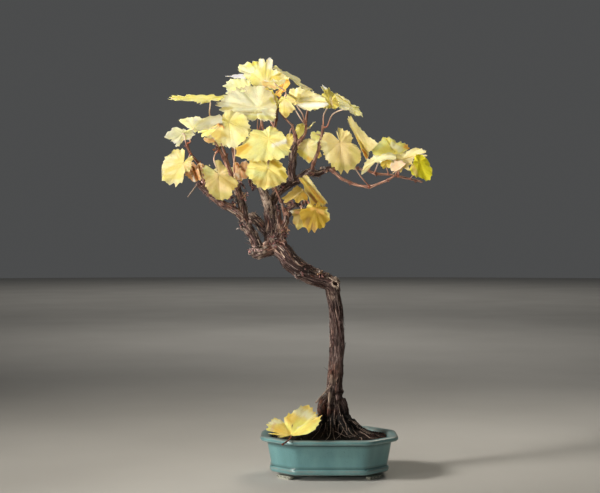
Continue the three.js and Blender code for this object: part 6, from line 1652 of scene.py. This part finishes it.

# Pot. The profile goes up the outside, over the rim and down the inside: how far in from the rim's
# edge, height, and how thin the glaze is there, below 0 darkened as pooled glaze and as painted shade
# under the rim, on the rim's face and above the band.
pot = {
    "length": 160, "depth": 120, "cut": 34, "corner": 24, "cornerSteps": 9,
    "drain": 7, "drainAcross": 36, "drainHeight": 9.5,
    "profile": [
        (13, 6.5, 0.6), (12.3, 6.7, 0.9), (11.7, 7.4, 0.5), (11.1, 8.6, 0), (10.8, 10, 0.2),
        (10.8, 11.2, 0.7), (11.1, 12, 0.5), (11.9, 12.8, 0), (12.5, 13.5, -0.8), (12.6, 14.4, -0.5),
        (12.2, 17, 0), (11.2, 22, 0), (10.2, 27, 0), (9.3, 32, 0), (8.4, 37, 0), (7.8, 40, -0.5),
        (7.3, 41, -1), (6.2, 41.7, -1), (3.5, 42, -0.9), (1.4, 42.3, -0.4), (0.5, 42.9, 0.5),
        (0, 44, 0.6), (0, 45.3, -0.4), (0.5, 46.6, 0.7), (1.5, 47.3, 1), (2.8, 47.5, 0.7),
        (5, 47.5, 0.5), (7.4, 47.4, 0.6), (9.2, 46.9, 1), (10.4, 45.9, 1), (11, 44.6, 0.5),
        (11.5, 42.5, 0), (12, 40, 0), (13.5, 31, 0), (15, 21.5, 0), (16, 14.5, 0), (16.9, 12.7, 0),
        (18.5, 12, 0),
    ],
}
halfSize = np.array([pot["length"], pot["depth"]]) / 2


def cutAt(inset):  # how much of a corner the plan cuts off, this far in from the rim's edge
    return pot["cut"] - inset * (2 - math.sqrt(2))


def planRound(inset):  # points round the pot's plan, this far in from the rim's edge
    halfLength, halfDepth = halfSize - inset
    corners = [(halfLength, halfDepth - cutAt(inset)), (halfLength - cutAt(inset), halfDepth)]
    corners += [(-x, y) for x, y in corners[::-1]]
    corners += [(-x, -y) for x, y in corners]
    corners = np.array(corners)
    radius = max(pot["corner"] - inset * 0.55, 5)
    reach = radius * math.tan(math.pi / 8)
    share = np.linspace(0, 1, pot["cornerSteps"] + 1)[:, None]
    points = []
    for k, here in enumerate(corners):
        start = here + unit(corners[k - 1] - here) * reach
        end = here + unit(corners[(k + 1) % 8] - here) * reach
        points.append(start * (1 - share) ** 2 + here * 2 * share * (1 - share) + end * share ** 2)
    return np.vstack(points)


def makePot():
    # the plan of the foot is laid flat, then drawn up through the profile and into the pot
    rows = pot["profile"]
    plan = planRound(rows[0][0])
    count = len(plan)
    body = newPiece("potGlazed", np.column_stack([plan, np.full(count, rows[0][1])]),
                    [tuple(range(count))], [glazeMaterial])
    bpy.context.view_layer.objects.active = body
    body.select_set(True)
    bpy.ops.object.mode_set(mode="EDIT")
    bpy.ops.mesh.select_all(action="SELECT")
    for (inset, height, _), (nextInset, nextHeight, _) in zip(rows, rows[1:]):
        bpy.ops.mesh.extrude_region_move(
            TRANSFORM_OT_translate={"value": (0, 0, (nextHeight - height) * mm)})
        if nextInset != inset:
            bpy.ops.transform.resize(value=(*((halfSize - nextInset) / (halfSize - inset)), 1),
                                     center_override=tuple(potMiddle))
    bpy.ops.mesh.select_all(action="SELECT")
    bpy.ops.mesh.normals_make_consistent(inside=False)
    bpy.ops.object.mode_set(mode="OBJECT")
    for ring, (inset, height, _) in enumerate(rows):  # each ring gets the corners of its own plan
        part = body.data.vertices[ring * count:(ring + 1) * count]
        flat = (np.array([vertex.co[:2] for vertex in part]) - potMiddle[:2]) * 1000
        stretched = plan * (halfSize - inset) / (halfSize - rows[0][0])
        order = np.linalg.norm(flat[:, None] - stretched[None], axis=2).argmin(axis=1)
        for vertex, spot in zip(part, planRound(inset)[order]):
            vertex.co = potMiddle + np.array([spot[0], spot[1], height]) * mm
    for across in (-pot["drainAcross"], pot["drainAcross"]):
        spot = potMiddle + np.array([across, 0, pot["drainHeight"]]) * mm
        bpy.ops.mesh.primitive_cylinder_add(vertices=48, radius=pot["drain"] * mm, depth=0.02,
                                            location=tuple(spot))
        cutAway(body, bpy.context.object, "drain")
    mesh = body.data
    offset = (np.array([vertex.co[:] for vertex in mesh.vertices]) - potMiddle) * 1000
    inward = halfSize - np.abs(offset[:, :2])
    diagonal = (halfSize.sum() - pot["cut"] - np.abs(offset[:, 0]) - np.abs(offset[:, 1])) / math.sqrt(2)
    inset = np.minimum(inward.min(axis=1), diagonal)
    insets, heights, thin = np.array(rows).T
    best = np.argmin((inset[:, None] - insets) ** 2 + (offset[:, 2:] - heights) ** 2, axis=1)
    writeFacts(mesh, {"thin": thin[best]})
    mesh.shade_smooth()
    mesh.set_sharp_from_angle(angle=math.radians(60))
    finish(body, "glaze", "pot")


foot = {"half": 14, "thickness": 8, "height": 7.2, "bandAt": 2.4, "inset": 13,
        "low": 0.62, "middle": 0.84, "thin": 0.8,  # how much narrower and thinner it is down there
        "edge": 1.1, "scroll": 2, "scrollAt": 4.2, "groove": 0.62, "scrolls": (-8, -3, 3, 8)}


def shapeFoot():  # one cloud foot, shaped and carved
    bpy.ops.object.select_all(action="DESELECT")
    middle = (0, 0, foot["height"] / 2 * mm)
    bpy.ops.mesh.primitive_cube_add(size=1, location=middle)
    block = bpy.context.object
    bpy.ops.object.mode_set(mode="EDIT")
    bpy.ops.mesh.select_all(action="SELECT")
    bpy.ops.transform.resize(value=(foot["half"] * 2 * mm, foot["thickness"] * mm, foot["height"] * mm),
                             center_override=middle)
    bpy.ops.mesh.bisect(plane_co=(0, 0, foot["bandAt"] * mm), plane_no=(0, 0, 1))
    bpy.ops.mesh.select_all(action="DESELECT")
    bpy.ops.object.mode_set(mode="OBJECT")
    for vertex in block.data.vertices:
        if vertex.co.z < 0.001:
            vertex.co.x *= foot["low"]
            vertex.co.y *= foot["thin"]
        elif vertex.co.z < 0.004:
            vertex.co.x *= foot["middle"]
    bevel = block.modifiers.new("softened edges", "BEVEL")
    bevel.width = foot["edge"] * mm
    bevel.segments = 3
    applyModifier(block, bevel)
    for across in foot["scrolls"]:
        for side in (-1, 1):
            bpy.ops.mesh.primitive_torus_add(
                major_segments=20, minor_segments=8, major_radius=foot["scroll"] * mm,
                minor_radius=foot["groove"] * mm, rotation=(math.pi / 2, 0, 0),
                location=(across * mm, side * foot["thickness"] / 2 * mm, foot["scrollAt"] * mm))
            cutAway(block, bpy.context.object, "scroll")
    points, faces = takeMesh(block)
    return points * 1000, faces


def makeFeet():  # the foot is copied to the four cut corners
    points, faces = shapeFoot()
    deep = foot["thickness"] / 2
    slots = []
    for face in faces:  # what lies in the carving is painted dark as shade
        x, y, z = points[list(face)].mean(axis=0)
        off = min(math.hypot(math.hypot(x - across, z - foot["scrollAt"]) - foot["scroll"], abs(y) - deep)
                  for across in foot["scrolls"])
        slots.append(1 if off < foot["groove"] + 0.02 and abs(y) < deep - 0.04 else 0)
    inset = foot["inset"] + deep
    away = halfSize - inset - cutAt(inset) / 2
    for name, signX, signY in (("foot_back_right", 1, 1), ("foot_back_left", -1, 1),
                               ("foot_front_left", -1, -1), ("foot_front_right", 1, -1)):
        placed = turnedFlat(points, -signX * signY * math.pi / 4) + (signX * away[0], signY * away[1], 0)
        finish(newPiece(name, placed, faces, [clayMaterial, carvingShadeMaterial], slots, angle=40), "glaze")


makePot()
makeFeet()
for side in ("drain_screen_left", "drain_screen_right"):
    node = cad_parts[side]
    node.data.materials.clear()
    node.data.materials.append(screenMaterial)
print("pot, feet and drain screens made")

# Soil. Its rings on top and its side are how far in from the rim's edge, and height.
soil = {
    "top": 55, "bottom": 12.4, "trunk": (337, 437, 0), "gap": 0.35, "uneven": 1.3,
    "rings": [(13.2, 43.6), (14.2, 44), (16, 44.1), (19, 44.5), (22, 45.2), (26, 46.2), (30, 47.8),
              (34, 49.4), (38, 50.8), (42, 52.2), (46, 53.6), (50, 54.3), (54, 54.8), (57, 55)],
    "side": [(16.5, 12.4), (14.3, 26), (12, 40), (12, 42.6)],
    "brickFrom": 38,  # more brick-red mix lies right of here
    "crumbs": 2300, "grit": 420,
}
soilTints = {"peat": "#130e0b", "dark": "#1e1612", "bark": "#382619", "brick": "#562419", "pale": "#9b8f7d"}
soilTones = tones(soilTints)


def soilPlan(inset):  # the plan at this inset drifts to the trunk, where the mound is highest
    share = max(0, (inset - 38) / 20)
    return planRound(min(inset, 40)) * (1 - share) + seen(soil["trunk"])[:2] * share


def makeSoil():
    rows = [soilPlan(inset) for inset, _ in soil["rings"]]
    count = len(rows[0])
    rings = []
    for at in np.linspace(0, len(rows) - 1, len(rows) * 3):
        k = min(int(at), len(rows) - 2)
        share = at - k
        height = soil["rings"][k][1] * (1 - share) + soil["rings"][k + 1][1] * share
        rings.append(np.column_stack([rows[k] * (1 - share) + rows[k + 1] * share, np.full(count, height)]))
    top = np.array(rings)
    bumps = cloud(top.reshape(-1, 3) / 5, 71) - 0.5 + 0.6 * (cloud(top.reshape(-1, 3) / 1.8, 72) - 0.5)
    top[..., 2] += bumps.reshape(top.shape[:2]) * soil["uneven"]
    side = [np.column_stack([planRound(inset + soil["gap"]), np.full(count, height)])
            for inset, height in soil["side"]]
    trunk = seen(soil["trunk"])
    ends = np.array([[0, 0, soil["bottom"]], [trunk[0], trunk[1], soil["top"]]])
    points = np.vstack([*side, top.reshape(-1, 3), ends])
    painted = blend(soilTones["peat"], soilTones["dark"], cloud(points / 3, 73))
    painted = blend(painted, soilTones["brick"], smoothStep((points[:, 0] - soil["brickFrom"]) / 14) * 0.45)
    shell = Shell()
    shell.add(points, ringFaces(len(side) + len(rings), count), tint=painted)
    finish(shell.piece("pottingMix", [soilMaterial], 180), "soil", "soil")
    return top


def scatterCrumbs(top):  # peat crumbs, bark bits and grit on the mound
    bpy.ops.object.select_all(action="DESELECT")
    bpy.ops.mesh.primitive_ico_sphere_add(subdivisions=1, radius=1)
    form, faces = takeMesh(bpy.context.object)
    shell = Shell()
    rings, columns, _ = top.shape
    for number in range(soil["crumbs"] + soil["grit"]):
        grit = number >= soil["crumbs"]
        ring = (1 - math.sqrt(random.random())) * (rings - 3)
        column = random.randrange(columns)
        k = int(ring)
        share = ring - k
        turn = random.random()
        here, beside = (top[k, j] * (1 - share) + top[k + 1, j] * share
                        for j in (column, (column + 1) % columns))
        spot = here * (1 - turn) + beside * turn
        size = random.uniform(0.5, 1.1) if grit else random.uniform(0.45, 1.3) ** 1.4
        stretch = np.array([random.uniform(0.7, 1.4), random.uniform(0.7, 1.4), random.uniform(0.5, 0.9)])
        angle = random.uniform(0, math.pi)
        lump = turnedFlat(form * (0.8 + 0.4 * chance.random((len(form), 1))) * stretch * size, angle)
        brick = 24 if spot[0] > soil["brickFrom"] else 4
        name = random.choices(("peat", "dark", "bark", "brick", "pale"), (46, 34, 12, brick, 1.5))[0]
        shell.add(lump + spot + (0, 0, size * 0.2), faces, tint=soilTones[name])
    finish(shell.piece("soilCrumbs", [soilMaterial], 25), "soil")


rootLook = {"count": 190, "steps": 12, "radius": (0.16, 0.5), "length": (12, 40), "start": (10, 26),
            "edge": (64, 44, 90)}  # a root ends where across, deep or both together reach this

# The pale threads of root that show on the mass and the mound: across and down, and radius in mm.
rootThreads = [
    (((342.4, 415), (343.4, 420), (346, 425), (346.8, 430), (347.5, 433)), 0.55),
    (((330.6, 418), (330.7, 427), (330.2, 434), (328, 438), (325, 440.6)), 0.5),
    (((360, 431.6), (364, 433.6), (368, 436.6), (371, 438), (377, 438)), 0.6),
    (((348, 419.6), (351, 421), (355, 422), (359, 425)), 0.5),
    (((335, 431), (341, 434), (346, 436.6), (351, 437)), 0.45),
    (((352, 429), (356, 433), (359, 438)), 0.5), (((358.6, 437.6), (361, 438), (362, 440.4)), 0.9),
    (((333, 428), (333.4, 435), (335, 440)), 0.45), (((339, 424), (338, 431), (341, 438)), 0.4),
    (((350, 424), (354, 430), (354.6, 437)), 0.4), (((326, 422), (324.6, 430), (321, 437)), 0.45),
    (((344, 428), (341, 434), (336, 439)), 0.4), (((356, 426), (362, 430), (370, 434)), 0.45),
    (((346, 434), (352, 436), (360, 436)), 0.45), (((366, 433), (374, 434), (382, 437)), 0.45),
    (((337, 415), (335, 423), (336.6, 430)), 0.4),
    (((338, 396), (339, 408), (341.4, 417), (346, 424)), 0.4),
    (((334, 396), (335, 408), (334, 420), (336, 430)), 0.4), (((328, 420), (327, 428), (328, 436)), 0.4),
    (((350, 419), (356, 424.6), (363, 429.4), (372, 434)), 0.5),
    (((339, 420), (344, 430), (350, 438)), 0.4), (((322, 424), (318, 432), (312, 438.6)), 0.4),
    (((348, 428), (351, 433), (357, 436.4)), 0.4),
]


def groundUnder(at, surface, mass):  # the height of the mound or of the root mass
    trunk = seen(soil["trunk"])
    nearest = surface[np.argmin(np.linalg.norm(surface[:, :2] - at[:2], axis=1))]
    away = np.hypot((at[0] - trunk[0] - rootMassLook["right"]) / rootMassLook["wide"],
                    (at[1] - trunk[1]) / rootMassLook["deep"])
    return max(nearest[2], np.interp(away, mass[:, 0], mass[:, 1], right=0) + 0.6)


def spreadRoots(top):  # fine roots that run down the root mass and out over the mound
    shell = Shell()
    ground = top.reshape(-1, 3), np.array([(radius, seen((337, down, 0))[2]) for down, radius in rootMass])
    for spots, radius in rootThreads:  # each follows the line of sight down to the ground
        way = []
        for spot in spots:
            line = seen([(*spot, behind) for behind in range(-46, 40)])
            wood = placeOnWood(line)
            solid = wood["distance"] < wood["radius"] + 1.2
            solid |= line[:, 2] < [groundUnder(place, *ground) + 0.9 for place in line]
            way.append(line[np.argmax(solid)] if solid.any() else line[-1])
        centres, _, marks = smoothWay(way, 1.6)
        centres = centres + 0.5 * (cloud(centres / 3, 71) - 0.5)[:, None]
        points, faces = tube(centres, radius * (1 - 0.4 * marks / marks[-1]), 6)
        shell.add(points, faces, rise=0.75, bark=points, pale=0.4, red=0.0)
    oval = np.array([rootMassLook["wide"], rootMassLook["deep"]])
    start = seen(soil["trunk"])[:2] + (rootMassLook["right"], 0)
    steps = rootLook["steps"]
    edgeX, edgeY, edgeBoth = rootLook["edge"]
    for number in range(rootLook["count"]):
        heading = random.uniform(0, 2 * math.pi)
        reach = random.uniform(*rootLook["start"])
        length = random.uniform(*rootLook["length"])
        way = []
        at = start + np.array([math.cos(heading), math.sin(heading)]) * oval * reach
        for k in range(steps):
            heading += random.uniform(-0.3, 0.3)
            at = at + np.array([math.cos(heading), math.sin(heading)]) * length / steps
            way.append([at[0], at[1], groundUnder(at, *ground) + 0.5 + 0.4 * math.sin(k * 1.7 + number)])
        x, y = np.abs(np.array(way)[:, :2]).T
        inside = (x < edgeX) & (y < edgeY) & (x + y < edgeBoth)
        if inside.sum() < 5:
            continue
        way = way[:int(np.argmin(inside)) if not inside.all() else steps]
        if len(way) < 4:
            continue
        centres, _, marks = smoothWay(way, 1.6)
        radii = random.uniform(*rootLook["radius"]) * (1 - 0.75 * marks / marks[-1])
        points, faces = tube(centres, radii, 5)
        shell.add(points, faces, rise=random.uniform(-0.4, 0.4), bark=points,
                  pale=random.choice((0, 0, 0.1, 0.25)), red=random.choice((0, 0, 0.2)))
    finish(shell.piece("fineRoots", [barkMaterial], 60), "bark")


soilTop = makeSoil()
scatterCrumbs(soilTop)
spreadRoots(soilTop)
print("soil, crumbs and fine roots made")

# Studio: a plain pale floor, a key light from the upper left with small soft helpers for the crown,
# the undersides, the pot and the front, a light from behind, and two that even out the floor.
# Each light has its place, its aim, its size, its power, its tint and its spread in degrees.
studio = {
    "air": "#dcdedf", "airStrength": 0.1,
    "floor": [(0.3, "#b7b5b0"), (0.7, "#c1bfba")], "floorRadius": 9,
    "lights": {
        "keyLight": ((-1.55, -0.6, 1.2), (-0.02, 0, 0.26), 0.6, 3.8, "#fff9f0", 60),
        "crownLight": ((-1.5, -0.7, 1.3), (-0.02, 0, 0.46), 0.3, 0.48, "#fff9f0", 24),
        "lowLight": ((-0.75, -0.85, 0.04), (-0.05, 0, 0.45), 0.25, 0.85, "#fffaf2", 37),
        "potLight": ((-0.55, -0.5, 0.16), (-0.07, -0.05, 0.025), 0.15, 0.11, "#fffaf2", 34),
        "frontLight": ((-0.4, -1.4, 0.6), (0.06, 0, 0.43), 0.4, 0.34, "#fffaf2", 30),
        "rimLight": ((0.7, 1.1, 1.5), (0, 0, 0.35), 0.9, 1.5, "#fff6e4", 60),
        "nearFloorLight": ((0, 1.9, 2.2), (0, 1.9, 0), 1.6, 3.2, "#fffaf2", 64),
        "farFloorLight": ((0, 4.6, 4), (0, 5, 0), 4, 17, "#fffaf2", 90),
    },
}


def makeFloor():
    # Mat emulsion paint, evenly pale, with faint cloudy patches a third of a metre wide.
    material, tree, shader = newMaterial("matPaintedFloor")
    place = addNode(tree, "TexCoord")
    grain = addNode(tree, "TexNoise", {"Scale": 3.0, "Detail": 3.0}, {"Vector": (place, "Object")})
    ramp = addNode(tree, "ValToRGB", {"stops": studio["floor"]}, {0: grain})
    addNode(tree, shader, {"Roughness": 0.9}, {"Base Color": ramp})
    bpy.ops.object.select_all(action="DESELECT")
    bpy.ops.mesh.primitive_circle_add(vertices=96, radius=studio["floorRadius"], fill_type="NGON",
                                      location=(0, 0, 0))
    floor = bpy.context.object
    floor.name = "floor"
    floor.data.materials.append(material)


def addLight(name, place, aim, size, power, tone, spread):
    light = bpy.data.lights.new(name, "AREA")
    light.shape = "DISK"
    light.size = size
    light.energy = power
    light.color = colour(tone)[:3]
    light.spread = math.radians(spread)
    lamp = bpy.data.objects.new(name, light)
    scene.collection.objects.link(lamp)
    lamp.location = place
    x, y, z = np.array(aim) - np.array(place)
    lamp.rotation_euler = (math.acos(-z / math.hypot(x, y, z)), 0, math.atan2(x, -y) + math.pi)


makeFloor()
for name, row in studio["lights"].items():
    addLight(name, *row)
world = bpy.data.worlds.new("studioAir")
scene.world = world
world.use_nodes = True
air = world.node_tree.nodes["Background"]
air.inputs["Color"].default_value = colour(studio["air"])
air.inputs["Strength"].default_value = studio["airStrength"]
scene.view_settings.view_transform = "Standard"
scene.view_settings.look = "None"
print("studio set")
